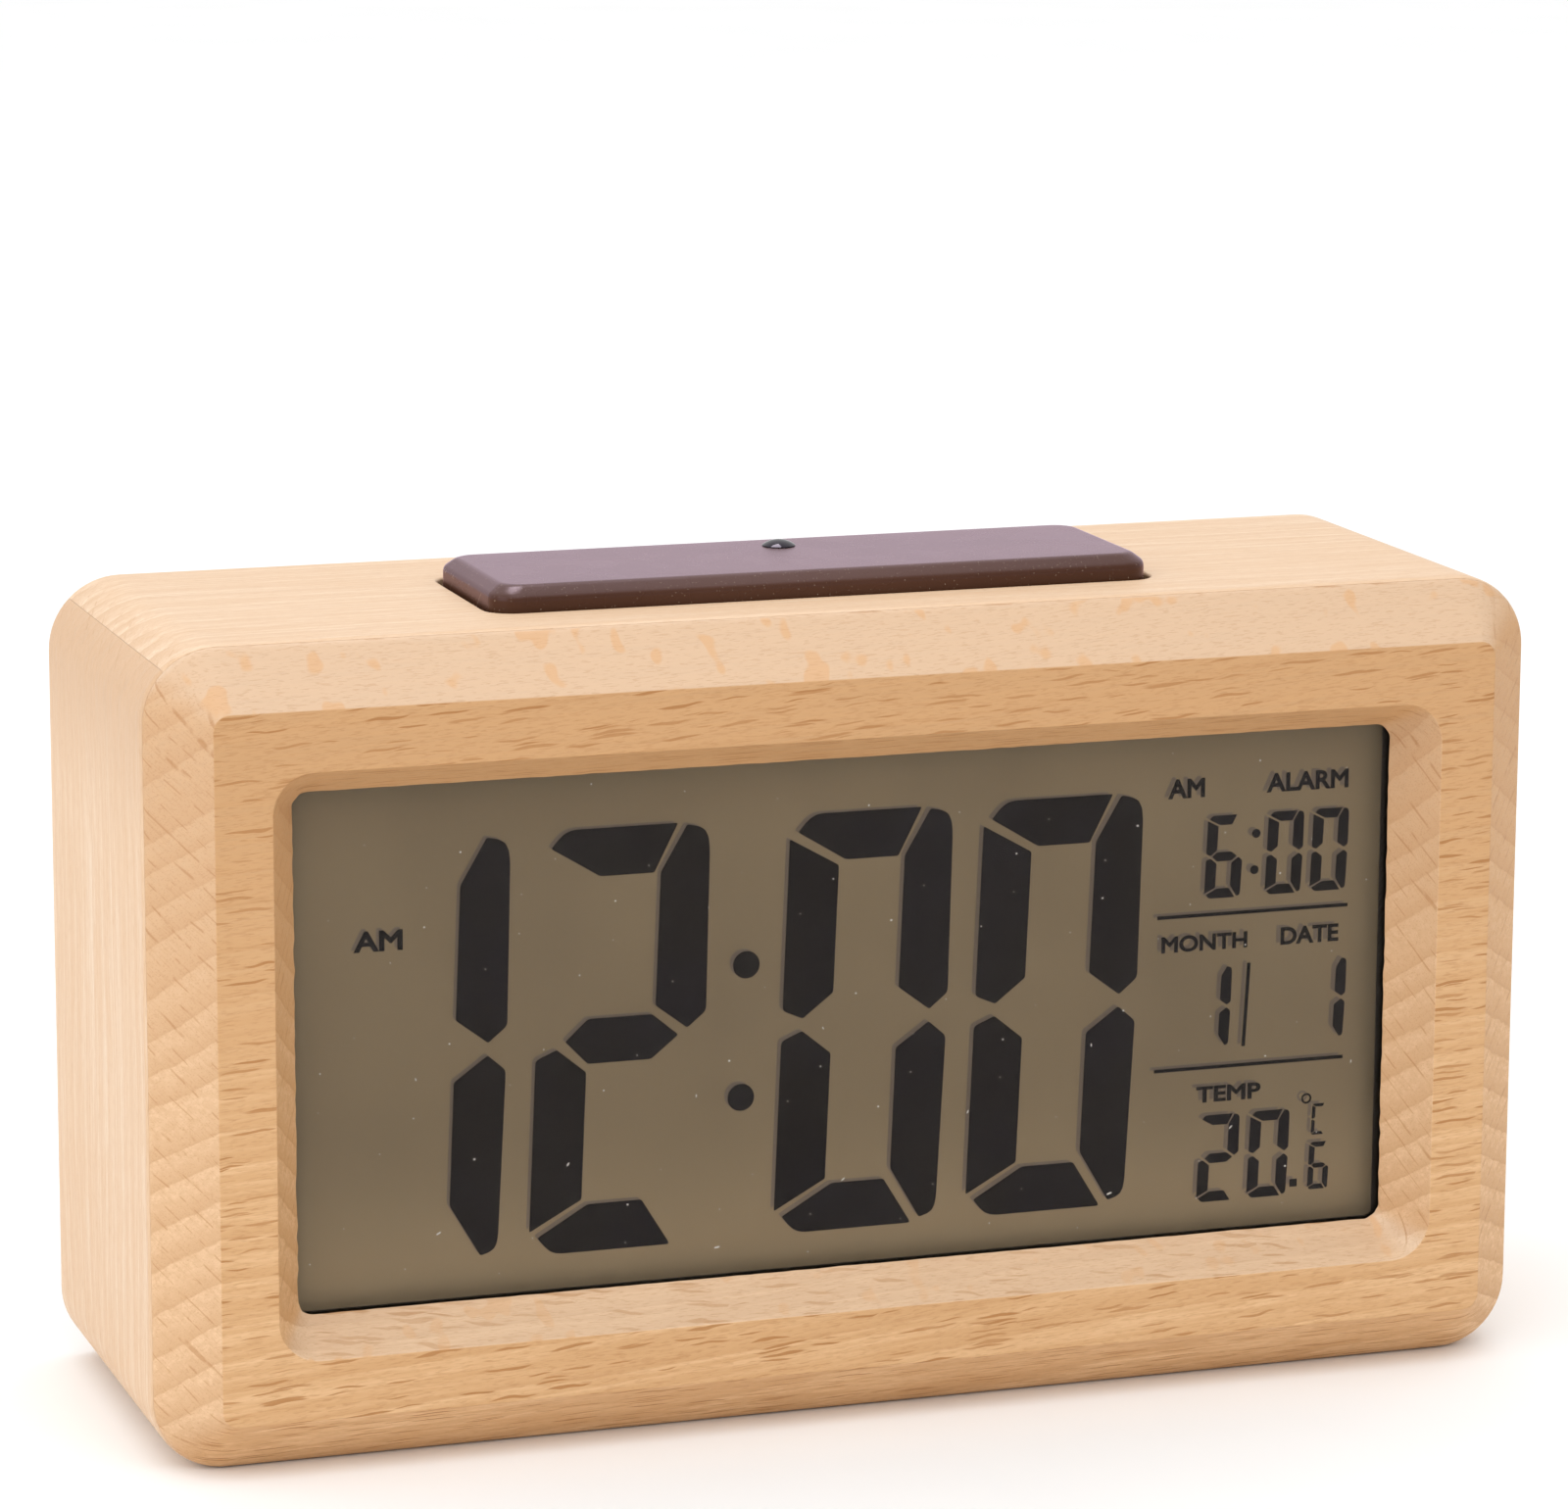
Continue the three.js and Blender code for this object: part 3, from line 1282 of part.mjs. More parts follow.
add("front_board", frontBoard(), beech);
add("case_top_board", caseTopBoard(), beech);
add("case_bottom_board", mitred(true, -1), beech);
add("case_left_board", mitred(false, -1), beech);
add("case_right_board", mitred(false, 1), beech);

add(
  "lcd_front_polariser",
  box([-glassHalf, glassHalf], [polariserFront, frontGlass], [glassBottom, glassTop]),
  darkGlass,
);
add(
  "lcd_front_glass",
  box([-glassHalf, glassHalf], [frontGlass, rearGlass], [glassBottom - CONTACT_LEDGE, glassTop]),
  clear,
);
add(
  "lcd_rear_glass",
  box([-glassHalf, glassHalf], [rearGlass, guideFront], [glassBottom, glassTop]),
  clear,
);
const guideLeft = -glassHalf + FIT_GAP + LED_BOARD_THICKNESS + LED_HEIGHT + FIT_GAP;
add(
  "light_guide",
  box([guideLeft, glassHalf], [guideFront, frameFloor], [glassBottom, glassTop]),
  clear,
);
add("backlight_led_board", ledBoard(), white);
add("lcd_frame", lcdFrame(), white);
add(
  "zebra_strip",
  box(
    [-zebraHalf(), zebraHalf()],
    [rearGlass, mainPcbFront],
    [zebraBottom(), zebraBottom() + ZEBRA_THICKNESS],
  ),
  black,
);
const frameScrew = screw(frameBack - FRONT_THICKNESS + FRAME_SCREW_BITE);
frameScrewPlaces().forEach(([x, z], i) => {
  facingBack(add("frame_screw_" + (i + 1), frameScrew, steel), x, frameBack, z);
});

add("main_pcb", mainPcb(), circuit);
const [mainBottom, mainTop] = mainPcbHeights();
const chipHeight = (mainBottom + mainTop) / 2;
const chipX = -mainPcbHalf() / 2;
facingBack(add("chip_potting", chipPotting(), black), chipX, mainPcbBack, chipHeight);
const crystal = add("quartz_crystal", quartzCrystal(), steel);
facingBack(crystal, chipX, mainPcbBack, chipHeight + 2 * CHIP_RADIUS);

const barGroup = new THREE.Group();
clock.add(barGroup);
add("snooze_bar", snoozeBar(), brown, barGroup);
const dome = add("sensor_lens", sensorLens(), lens, barGroup);
dome.position.set(0, at(LENS_SETBACK), barTop);
add("bar_carrier", barCarrier(), black);
const springGap = SPRING_WIRE_RADIUS + SPRING_SEAT_GAP;
const coil = spring(
  SPRING_RADIUS,
  SPRING_RADIUS,
  barUnderside - trayFloor - 2 * springGap,
  SPRING_CURLS,
);
const carrierScrew = screw(EAR_THICKNESS + CARRIER_SCREW_BITE);
[["left", -1], ["right", 1]].forEach(([side, sign]) => {
  const barSpring = add("bar_spring_" + side, coil, steel);
  barSpring.position.set(sign * springX, at(barMiddle), trayFloor + springGap);
  const holder = add("carrier_screw_" + side, carrierScrew, steel);
  holder.rotation.x = Math.PI;
  holder.position.set(sign * earScrewX(), at(barMiddle), cavityTop - EAR_THICKNESS);
});
add(
  "switch_board",
  box(
    [-SWITCH_BOARD_LENGTH / 2, SWITCH_BOARD_LENGTH / 2],
    switchBoardDepths(),
    [trayFloor, switchBoardTop],
  ),
  circuit,
);
const snoozeSwitch = new THREE.Group();
snoozeSwitch.position.set(0, at(SNOOZE_SWITCH_SETBACK), switchBoardTop);
clock.add(snoozeSwitch);
add("snooze_switch_body", switchBody(), black, snoozeSwitch);
add("snooze_switch_plunger", switchPlunger(SNOOZE_PLUNGER_PROUD), grey, snoozeSwitch);
const sensor = add("light_sensor", lightSensor(), lens);
sensor.position.set(0, at(LENS_SETBACK), switchBoardTop);
add("switch_ribbon", switchRibbon(), grey);

add("rear_cover", rearCover(), brown);
const coverScrew = screw(COVER_THICKNESS - SCREW_SINK + COVER_SCREW_BITE);
postPlaces().forEach(([x, z], i) => {
  facingBack(add("cover_screw_" + (i + 1), coverScrew, steel), x, screwSeat, z);
});
add("battery_door", batteryDoor(), brown);

// The nubs point right, left, right, so the cells stand in series.
const cellGeometry = batteryCell();
for (let i = 0; i < CELL_COUNT; i++) {
  const nub = i % 2 === 0 ? 1 : -1;
  const cell = add("battery_cell_" + (i + 1), cellGeometry, sleeve);
  const plate = nub > 0 ? bayRight : bayLeft;
  cell.rotation.z = nub > 0 ? 0 : Math.PI;
  cell.position.set(
    plate - nub * (CONTACT_THICKNESS + CELL_LENGTH / 2),
    at(cellDepth),
    cellHeight(i),
  );
}
add("battery_contact_plus", plusContact(), steel);
add("battery_contact_minus", minusContact(), steel);
add("battery_bridge_left", leftBridge(), steel);
add("battery_bridge_right", rightBridge(), steel);
add("battery_lead", batteryLead(), black);

add("key_board", keyBoard(), circuit);
["set", "up", "down"].forEach((name, i) => {
  const station = new THREE.Group();
  station.rotation.x = -Math.PI / 2;
  station.position.set(keyXs[i], at(keyBoardBack), keyRow);
  clock.add(station);
  const key = add(name + "_key", pushKey(), black, station);
  key.position.z = keyFront - keyBoardBack;
  add(name + "_switch_body", switchBody(), black, station);
  add(name + "_switch_plunger", switchPlunger(KEY_PLUNGER_PROUD), grey, station);
});
add("alarm_switch_body", slideBody(), steel);
add("alarm_switch_knob", slideKnob(), black);
facingBack(add("buzzer", buzzer(), black), buzzerX, keyBoardBack, buzzerHeight);
facingBack(
  add("temperature_sensor", temperatureBead(), black),
  ventX,
  keyBoardBack,
  ventHeight,
);
add("display_ribbon", displayRibbon(), grey);

export default clock;
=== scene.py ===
"""Dresses a wooden alarm clock: beech case, liquid-crystal display, snooze bar and moulded back.

Sizes in the code are millimetres in the frame's own axes. Depths run from the front face
towards the back. Each operator builds or finishes one piece or a group of like pieces.
"""

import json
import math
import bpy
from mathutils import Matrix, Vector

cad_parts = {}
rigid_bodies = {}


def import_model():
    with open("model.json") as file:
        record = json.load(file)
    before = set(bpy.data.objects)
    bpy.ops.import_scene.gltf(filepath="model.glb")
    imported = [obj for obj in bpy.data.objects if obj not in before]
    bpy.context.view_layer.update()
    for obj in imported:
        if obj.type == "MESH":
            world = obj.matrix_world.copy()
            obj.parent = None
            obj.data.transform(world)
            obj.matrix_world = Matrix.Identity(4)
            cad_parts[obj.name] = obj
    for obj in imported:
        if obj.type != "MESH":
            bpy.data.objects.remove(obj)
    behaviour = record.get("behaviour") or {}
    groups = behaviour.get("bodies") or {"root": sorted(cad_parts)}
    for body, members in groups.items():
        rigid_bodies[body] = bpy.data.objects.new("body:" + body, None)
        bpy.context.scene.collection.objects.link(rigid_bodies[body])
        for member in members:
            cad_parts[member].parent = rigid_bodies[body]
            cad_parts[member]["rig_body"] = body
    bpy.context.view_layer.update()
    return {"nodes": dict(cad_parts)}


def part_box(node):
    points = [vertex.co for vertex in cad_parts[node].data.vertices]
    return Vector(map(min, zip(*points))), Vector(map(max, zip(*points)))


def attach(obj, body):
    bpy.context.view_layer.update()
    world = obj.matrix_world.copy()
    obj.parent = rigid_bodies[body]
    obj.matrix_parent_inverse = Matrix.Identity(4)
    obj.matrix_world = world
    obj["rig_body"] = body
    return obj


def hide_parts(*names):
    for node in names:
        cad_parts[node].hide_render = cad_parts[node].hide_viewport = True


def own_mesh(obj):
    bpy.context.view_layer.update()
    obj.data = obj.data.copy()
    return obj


bl_info = {
    "name": "Wooden Alarm Clock",
    "version": (1, 0, 0),
    "blender": (4, 5, 0),
    "location": "3D View > Sidebar > Clock",
    "description": "Builds the detailed pieces and finishes of a wooden alarm clock",
    "category": "Object",
}

import bmesh
import bpy
from bpy.props import FloatProperty, FloatVectorProperty, PointerProperty, StringProperty
from mathutils import Matrix, Vector, noise

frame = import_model()

MM = 0.001


def node_box(node):
    """The lowest and highest corner of a frame node, in millimetres."""
    low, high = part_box(node)
    return low / MM, high / MM


def node_middle(node):
    """The middle of a frame node along X, Y and Z, in millimetres."""
    return [(a + b) / 2 for a, b in zip(*node_box(node))]


FRONT = node_box("front_board")[0].y
BACK = node_box("case_top_board")[1].y
CASE_HALF, CASE_HEIGHT = node_box("front_board")[1].xz
CASE_MIDDLE = CASE_HEIGHT / 2
CASE_CORNER = 7.2
BOARD = 7.0
FRONT_BOARD = 5.5
CHAMFER = 5.6


def at(depth):
    """The Y of a depth behind the front face."""
    return FRONT + depth


# Settings that a user would change


def number(name, description, default, **looks):
    return FloatProperty(name=name, description=description, default=default, **looks)


def millimetres(name, description, default):
    looks = {"unit": "LENGTH", "subtype": "DISTANCE", "precision": 5}
    return number(name, description, default * MM, min=0, **looks)


def share(name, description, default, highest=1.0):
    return number(name, description, default, min=0, max=highest)


def angle(name, description, degrees):
    return number(name, description, math.radians(degrees), unit="ROTATION", subtype="ANGLE")


def power(name, description, watts):
    return number(name, description, watts, unit="POWER")


def colour(name, description, default):
    looks = {"size": 3, "min": 0, "max": 1, "subtype": "COLOR"}
    return FloatVectorProperty(name=name, description=description, default=default, **looks)


def signs(name, description, default):
    return StringProperty(name=name, description=description, default=default)


class ClockCase(bpy.types.PropertyGroup):
    pale_wood: colour("Pale wood", "Early wood of each growth ring", (0.8, 0.518, 0.28))
    dark_wood: colour("Dark wood", "Late wood of each growth ring", (0.63, 0.36, 0.162))
    fleck: colour("Fleck", "Colour of the beech's ray flecks", (0.42, 0.185, 0.05))
    ring_width: millimetres("Ring width", "Mean width of a growth ring", 3.1)
    fleck_length: millimetres("Fleck length", "Length of a ray fleck along the grain", 4.4)
    wood_roughness: share("Wood roughness", "Roughness of the oiled wood", 0.5)
    edge: millimetres("Edge", "Rounding of the sanded edges", 0.8)
    crisp_edge: millimetres("Crisp edge", "Rounding of the front face's edges", 0.16)


class ClockDisplay(bpy.types.PropertyGroup):
    time: signs("Time", "Large figures, with a colon", "12:00")
    alarm: signs("Alarm", "Small figures at the top", "6:00")
    month: signs("Month", "One figure", "1")
    date: signs("Date", "One figure", "1")
    warmth: signs("Temperature", "Degrees, with a point", "20.6")
    slant: share("Slant", "How far the figures lean to the right, per unit of height", 0.04)
    film: colour("Film", "Grey-brown film behind the glass", (0.306, 0.222, 0.128))
    figure: colour("Figure", "Dark figures of the liquid crystal", (0.003, 0.0018, 0.0015))


class ClockBar(bpy.types.PropertyGroup):
    plastic: colour("Plastic", "Moulded plastic of the snooze bar", (0.058, 0.021, 0.007))
    roughness: share("Roughness", "Roughness of the bar's plastic", 0.27)
    edge: millimetres("Edge", "Rounding of the bar's chamfer edges", 0.55)
    dome: colour("Dome", "Smoked plastic over the light sensor", (0.006, 0.006, 0.008))


class ClockBack(bpy.types.PropertyGroup):
    cover: colour("Cover", "Moulded plastic of the rear cover and door", (0.085, 0.046, 0.03))
    keys: colour("Keys", "Plastic of the keys and the slide", (0.016, 0.015, 0.016))
    edge: millimetres("Edge", "Rounding of the mouldings' edges", 0.25)
    sleeve: colour("Sleeve", "Printed sleeve of the cells", (0.035, 0.12, 0.3))
    steel: colour("Steel", "Nickel-plated screws and contacts", (0.6, 0.59, 0.57))


class ClockStage(bpy.types.PropertyGroup):
    azimuth: angle("Azimuth", "Direction of the camera round the clock", -18.788)
    elevation: angle("Elevation", "Height of the camera above the horizon", 11.447)
    roll: angle("Roll", "Turn of the camera about its own axis", 0.266)
    distance: number("Distance", "From the camera to its target", 0.570618, unit="LENGTH")
    lens: number("Lens", "Focal length on a sensor 36 mm wide, in millimetres", 138.676)
    front_glow: share("Front glow", "Strength of the surroundings before the clock", 0.74, 5)
    overhead: share("Overhead", "How many times brighter the surroundings are overhead", 1.4, 5)
    back_glow: share("Back glow", "Strength of the surroundings behind the clock", 1.2, 5)
    top_light: power("Top light", "Power of the lamp overhead", 3.2)
    side_light: power("Side light", "Power of the lamp on the left", 2.5)
    glint: power("Glint", "Power of the lamp that only glossy pieces mirror", 4.0)
    floor: colour("Floor", "Pale studio floor", (0.95, 0.95, 0.95))


# Shapes


def shown(name, data):
    """A new object in the scene."""
    made = bpy.data.objects.new(name, data)
    bpy.context.scene.collection.objects.link(made)
    return made


def mesh_piece(name, points, faces):
    """A mesh object from points in millimetres, with its faces turned outwards."""
    mesh = bpy.data.meshes.new(name)
    mesh.from_pydata([Vector(p) * MM for p in points], [], faces)
    work = bmesh.new()
    work.from_mesh(mesh)
    bmesh.ops.recalc_face_normals(work, faces=work.faces)
    work.to_mesh(mesh)
    work.free()
    return shown(name, mesh)


def loft(name, rings, loop=False):
    """Quads between rings of equally many points. The ends are capped unless the rings loop."""
    count = len(rings[0])
    faces = []
    for low in range(len(rings) if loop else len(rings) - 1):
        high = (low + 1) % len(rings)
        for k in range(count):
            near, far = ((ring * count + k, ring * count + (k + 1) % count) for ring in (low, high))
            faces.append((*near, *reversed(far)))
    if not loop:
        faces.append(tuple(reversed(range(count))))
        faces.append(tuple((len(rings) - 1) * count + k for k in range(count)))
    return mesh_piece(name, [p for ring in rings for p in ring], faces)


def rounded_ring(half_u, half_v, radius, corner_steps=12, long_steps=1, short_steps=1):
    """A rectangle with round corners about the origin, anticlockwise from its right side."""

    def on_corner(corner, turned):
        su, sv = ((1, 1), (-1, 1), (-1, -1), (1, -1))[corner % 4]
        turn = turned * math.pi / 2
        centre = Vector((su * (half_u - radius), sv * (half_v - radius)))
        return centre + Vector((math.cos(turn), math.sin(turn))) * radius

    points = []
    for corner in range(4):
        arc = [on_corner(corner, corner + s / corner_steps) for s in range(corner_steps + 1)]
        steps = (long_steps, short_steps)[corner % 2]
        following = on_corner(corner + 1, corner + 1)
        points += arc + [arc[-1].lerp(following, s / steps) for s in range(1, steps)]
    return points


def rounded_outline(u, v, half_u, half_v, radius, corner_steps):
    """A rectangle with round corners about (u, v)."""
    return [(u + a, v + b) for a, b in rounded_ring(half_u, half_v, radius, corner_steps)]


def about(middle, reach):
    """A span that reaches equally far to both sides of its middle."""
    return middle - reach, middle + reach


def widened(span, by):
    return span[0] - by, span[1] + by


def rounded_off(start, corner, end, steps):
    """Points of a curve from start to end that rounds off the corner between them."""
    shares = [k / steps for k in range(steps + 1)]
    return [start * (1 - t) ** 2 + corner * (2 * t * (1 - t)) + end * t * t for t in shares]


def eased(corners, loop=False, steps=3):
    """A polyline whose corners are rounded. Each corner is its coordinates and its rounding."""
    route = []
    count = len(corners)
    for i, (corner, rounding) in enumerate(corners):
        ends = not loop and i in (0, count - 1)
        if ends or rounding <= 0:
            route.append(corner)
            continue
        legs = [corners[i - 1][0] - corner, corners[(i + 1) % count][0] - corner]
        before, after = (corner + leg * min(rounding / leg.length, 0.5) for leg in legs)
        route += rounded_off(before, corner, after, steps)
    return route


def circle(radius, sides, u=0.0, v=0.0):
    turns = (2 * math.pi * k / sides for k in range(sides))
    return [Vector((u + radius * math.cos(t), v + radius * math.sin(t))) for t in turns]


PLACED = {
    "x": lambda u, v, level: (level, u, v),
    "y": lambda u, v, level: (u, level, v),
    "z": lambda u, v, level: (u, v, level),
}


def prism(name, outline, low, high, along):
    """An outline drawn out along an axis, between two levels."""
    place = PLACED[along]
    return loft(name, [[place(u, v, level) for u, v in outline] for level in (low, high)])


def block(name, x, depth, z):
    """A plain box between two corners, used to build and to cut mouldings."""
    outline = [(x[0], z[0]), (x[1], z[0]), (x[1], z[1]), (x[0], z[1])]
    return prism(name, outline, at(depth[0]), at(depth[1]), "y")


def turned(name, profile, along, u, v, sides=48):
    """A turned piece: radii and levels along an axis through (u, v)."""
    place = PLACED[along]
    rings = [[place(*p, level) for p in circle(r, sides, u, v)] for r, level in profile]
    return loft(name, rings)


def joined(name, pieces):
    """Several meshes as one object."""
    whole = bmesh.new()
    for piece in pieces:
        whole.from_mesh(piece.data)
        discard(piece)
    mesh = bpy.data.meshes.new(name)
    whole.to_mesh(mesh)
    whole.free()
    return shown(name, mesh)


def discard(piece):
    mesh = piece.data
    bpy.data.objects.remove(piece)
    bpy.data.meshes.remove(mesh)


def combined(piece, tools, operation):
    """A piece cut by tools, or joined with them, one after another."""
    for tool in tools:
        change = piece.modifiers.new(operation.lower(), "BOOLEAN")
        change.operation = operation
        change.solver = "EXACT"
        change.object = tool
        shapes = bpy.context.evaluated_depsgraph_get()
        result = bpy.data.meshes.new_from_object(piece.evaluated_get(shapes))
        piece.modifiers.clear()
        old = piece.data
        result.name = old.name
        piece.data = result
        bpy.data.meshes.remove(old)
        discard(tool)
    if not piece.data.polygons:
        raise RuntimeError(f"{piece.name} has no faces left")
    return piece


def cut(piece, *tools):
    return combined(piece, tools, "DIFFERENCE")


def merged(piece, *tools):
    return combined(piece, tools, "UNION")


def parted(piece, places):
    """Splits the faces along planes across X, so that none of them has a hole in it."""
    work = bmesh.new()
    work.from_mesh(piece.data)
    for x in places:
        everything = work.verts[:] + work.edges[:] + work.faces[:]
        spot, across = Vector((x * MM, 0, 0)), Vector((1, 0, 0))
        bmesh.ops.bisect_plane(work, geom=everything, dist=1e-7, plane_co=spot, plane_no=across)
    work.to_mesh(piece.data)
    work.free()
    return piece


def softened(piece, width, segments=2, least=30, where=None):
    """Rounds the sharp edges, all of them or those whose middle (in millimetres) is wanted."""
    work = bmesh.new()
    work.from_mesh(piece.data)
    bmesh.ops.remove_doubles(work, verts=work.verts, dist=1e-7)
    bmesh.ops.dissolve_degenerate(work, edges=work.edges, dist=1e-7)
    sharp = []
    for edge in work.edges:
        if len(edge.link_faces) != 2 or edge.calc_face_angle(0) < math.radians(least):
            continue
        middle = (edge.verts[0].co + edge.verts[1].co) / 2 / MM
        if where is None or where(middle):
            sharp.append(edge)
    looks = {"segments": segments, "profile": 0.5, "affect": "EDGES", "clamp_overlap": False}
    bmesh.ops.bevel(work, geom=sharp, offset=width * MM, offset_type="OFFSET", **looks)
    work.to_mesh(piece.data)
    work.free()
    return piece


def dressed(piece, finish, node=None, body=None, crease=38):
    """Gives a piece its finish, smooth shading and body."""
    piece.data.materials.clear()
    piece.data.materials.append(finish)
    piece.data.shade_smooth()
    piece.data.set_sharp_from_angle(angle=math.radians(crease))
    flat = piece.modifiers.new("even shading", "WEIGHTED_NORMAL")
    flat.keep_sharp = True
    if node:
        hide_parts(node)
        body = frame["nodes"][node]["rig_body"]
    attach(piece, body)
    return piece


def finished_node(node, finish, edge):
    """A frame node keeps its shape and gets a finish and softened edges or even shading."""
    piece = frame["nodes"][node]
    piece.data.materials.clear()
    piece.data.materials.append(finish)
    weld = piece.modifiers.new("weld", "WELD")
    weld.merge_threshold = 1e-6
    if edge:
        bevel = piece.modifiers.new("softened edges", "BEVEL")
        bevel.width = edge * MM
        bevel.segments = 2
        bevel.limit_method = "ANGLE"
        bevel.angle_limit = math.radians(40)
        bevel.use_clamp_overlap = True
    else:
        smooth = piece.modifiers.new("smooth", "WEIGHTED_NORMAL")
        smooth.keep_sharp = True


# Finishes


class Recipe:
    """Shader nodes of a material or a world, put together a step at a time."""

    def __init__(self, owner):
        self.owner = owner
        owner.use_nodes = True
        self.tree = owner.node_tree
        self.tree.nodes.clear()

    def node(self, kind, inputs=None, **settings):
        made = self.tree.nodes.new("ShaderNode" + kind)
        for key, value in settings.items():
            setattr(made, key, value)
        for key, value in (inputs or {}).items():
            if isinstance(value, bpy.types.NodeSocket):
                self.tree.links.new(value, made.inputs[key])
            else:
                made.inputs[key].default_value = value
        return made

    def maths(self, operation, *terms):
        return self.node("Math", dict(enumerate(terms)), operation=operation).outputs[0]

    def sum(self, a, b):
        return self.maths("ADD", a, b)

    def times(self, a, b):
        return self.maths("MULTIPLY", a, b)

    def stretched(self, vector, by):
        by = by if isinstance(by, tuple) else (by,) * 3
        return self.node("VectorMath", {0: vector, 1: by}, operation="MULTIPLY").outputs[0]

    def along(self, vector, direction):
        measured = self.node("VectorMath", {0: vector, 1: direction}, operation="DOT_PRODUCT")
        return measured.outputs["Value"]

    def vector(self, x, y, z):
        return self.node("CombineXYZ", {0: x, 1: y, 2: z}).outputs[0]

    def noise(self, vector, detail=2.0, roughness=0.5):
        inputs = {"Vector": vector, "Scale": 1.0, "Detail": detail, "Roughness": roughness}
        return self.node("TexNoise", inputs).outputs[0]

    def between(self, value, low, high, start=0.0, end=1.0):
        """Rises smoothly from start to end as the value goes from low to high."""
        inputs = {0: value, 1: low, 2: high, 3: start, 4: end}
        return self.node("MapRange", inputs, interpolation_type="SMOOTHSTEP").outputs[0]


def opaque(colour):
    """A plain colour with its alpha. A node's colour stays as it is."""
    return colour if isinstance(colour, bpy.types.NodeSocket) else (*colour, 1.0)


class Finish(Recipe):
    """A material, worked out from the place on the piece in millimetres."""

    def __init__(self, name):
        super().__init__(bpy.data.materials.new(name))
        self.place = self.stretched(self.node("TexCoord").outputs["Object"], 1 / MM)

    def pattern(self, scale, detail=2.0, roughness=0.5):
        """Noise at the place on the piece. The scale is in features per millimetre."""
        return self.noise(self.stretched(self.place, scale), detail, roughness)

    def normal(self):
        return self.node("NewGeometry").outputs["Normal"]

    def mix(self, factor, a, b, blend="MIX"):
        inputs = {0: factor, 6: opaque(a), 7: opaque(b)}
        return self.node("Mix", inputs, data_type="RGBA", blend_type=blend).outputs[2]

    def clouded(self, pattern, a, b, most=1.0):
        """One colour with clouds of another where the pattern is high."""
        return self.mix(self.between(pattern, 0.3, 0.7, 0.0, most), a, b)

    def bump(self, height, distance, strength=1.0):
        inputs = {"Height": height, "Distance": distance * MM, "Strength": strength}
        return self.node("Bump", inputs).outputs[0]

    def specks(self, spacing, size, kept):
        """Small spots up to a given radius: one in each cell, of which a share is kept."""
        up = self.sum(self.along(self.place, (0, 1, 0)), self.along(self.place, (0, 0, 1)))
        flat = self.vector(self.along(self.place, (1, 0, 0)), up, 0.0)
        flat = self.stretched(flat, 1 / spacing)
        cell = self.node("TexVoronoi", {"Vector": flat, "Scale": 1.0}, voronoi_dimensions="2D")
        chosen = self.node("SeparateColor", {0: cell.outputs["Color"]})
        reach = self.times(chosen.outputs[1], size / spacing)
        near = self.maths("LESS_THAN", cell.outputs["Distance"], reach)
        return self.times(near, self.maths("LESS_THAN", chosen.outputs[0], kept))

    def edges(self, reach, strength):
        """How much a place lies on an edge: where a rounding of this reach turns the surface."""
        rounded = self.node("Bevel", {"Radius": reach * MM}, samples=4).outputs[0]
        return self.between(self.along(rounded, self.normal()), 0.8, 0.99, strength, 0.0)

    def blended(self, share, a, b):
        return self.node("MixShader", {0: share, 1: a, 2: b}).outputs[0]

    def surface(self, base, roughness, normal=None, **constants):
        inputs = {"Base Color": opaque(base), "Roughness": roughness}
        if normal:
            inputs["Normal"] = normal
        inputs.update({key.replace("_", " "): value for key, value in constants.items()})
        return self.node("BsdfPrincipled", inputs).outputs[0]

    def done(self, shader):
        self.node("OutputMaterial", {"Surface": shader})
        return self.owner

    def with_relief(self, base, roughness, relief, depth, strength=1.0, **constants):
        """The material of one surface with a relief of this depth in millimetres."""
        normal = self.bump(relief, depth, strength)
        return self.done(self.surface(base, roughness, normal, **constants))


def scaled(colour, by, plus=(0.0, 0.0, 0.0)):
    """A colour times one number or three, with something added."""
    by = by if isinstance(by, tuple) else (by,) * 3
    return tuple(c * b + p for c, b, p in zip(colour, by, plus))


RING_CENTRE = 320.0
RAY_REACH = 10.0
# Pale tone that painted light lifts the wood towards
PAINTED_LIGHT_TONE = Vector((0.77, 0.62, 0.475))
AMBER = (0.86, 0.7, 0.5)
# Tint of the painted shade, multiplied in over the shaded heights
SHADE = (0.93, 0.91, 0.9)


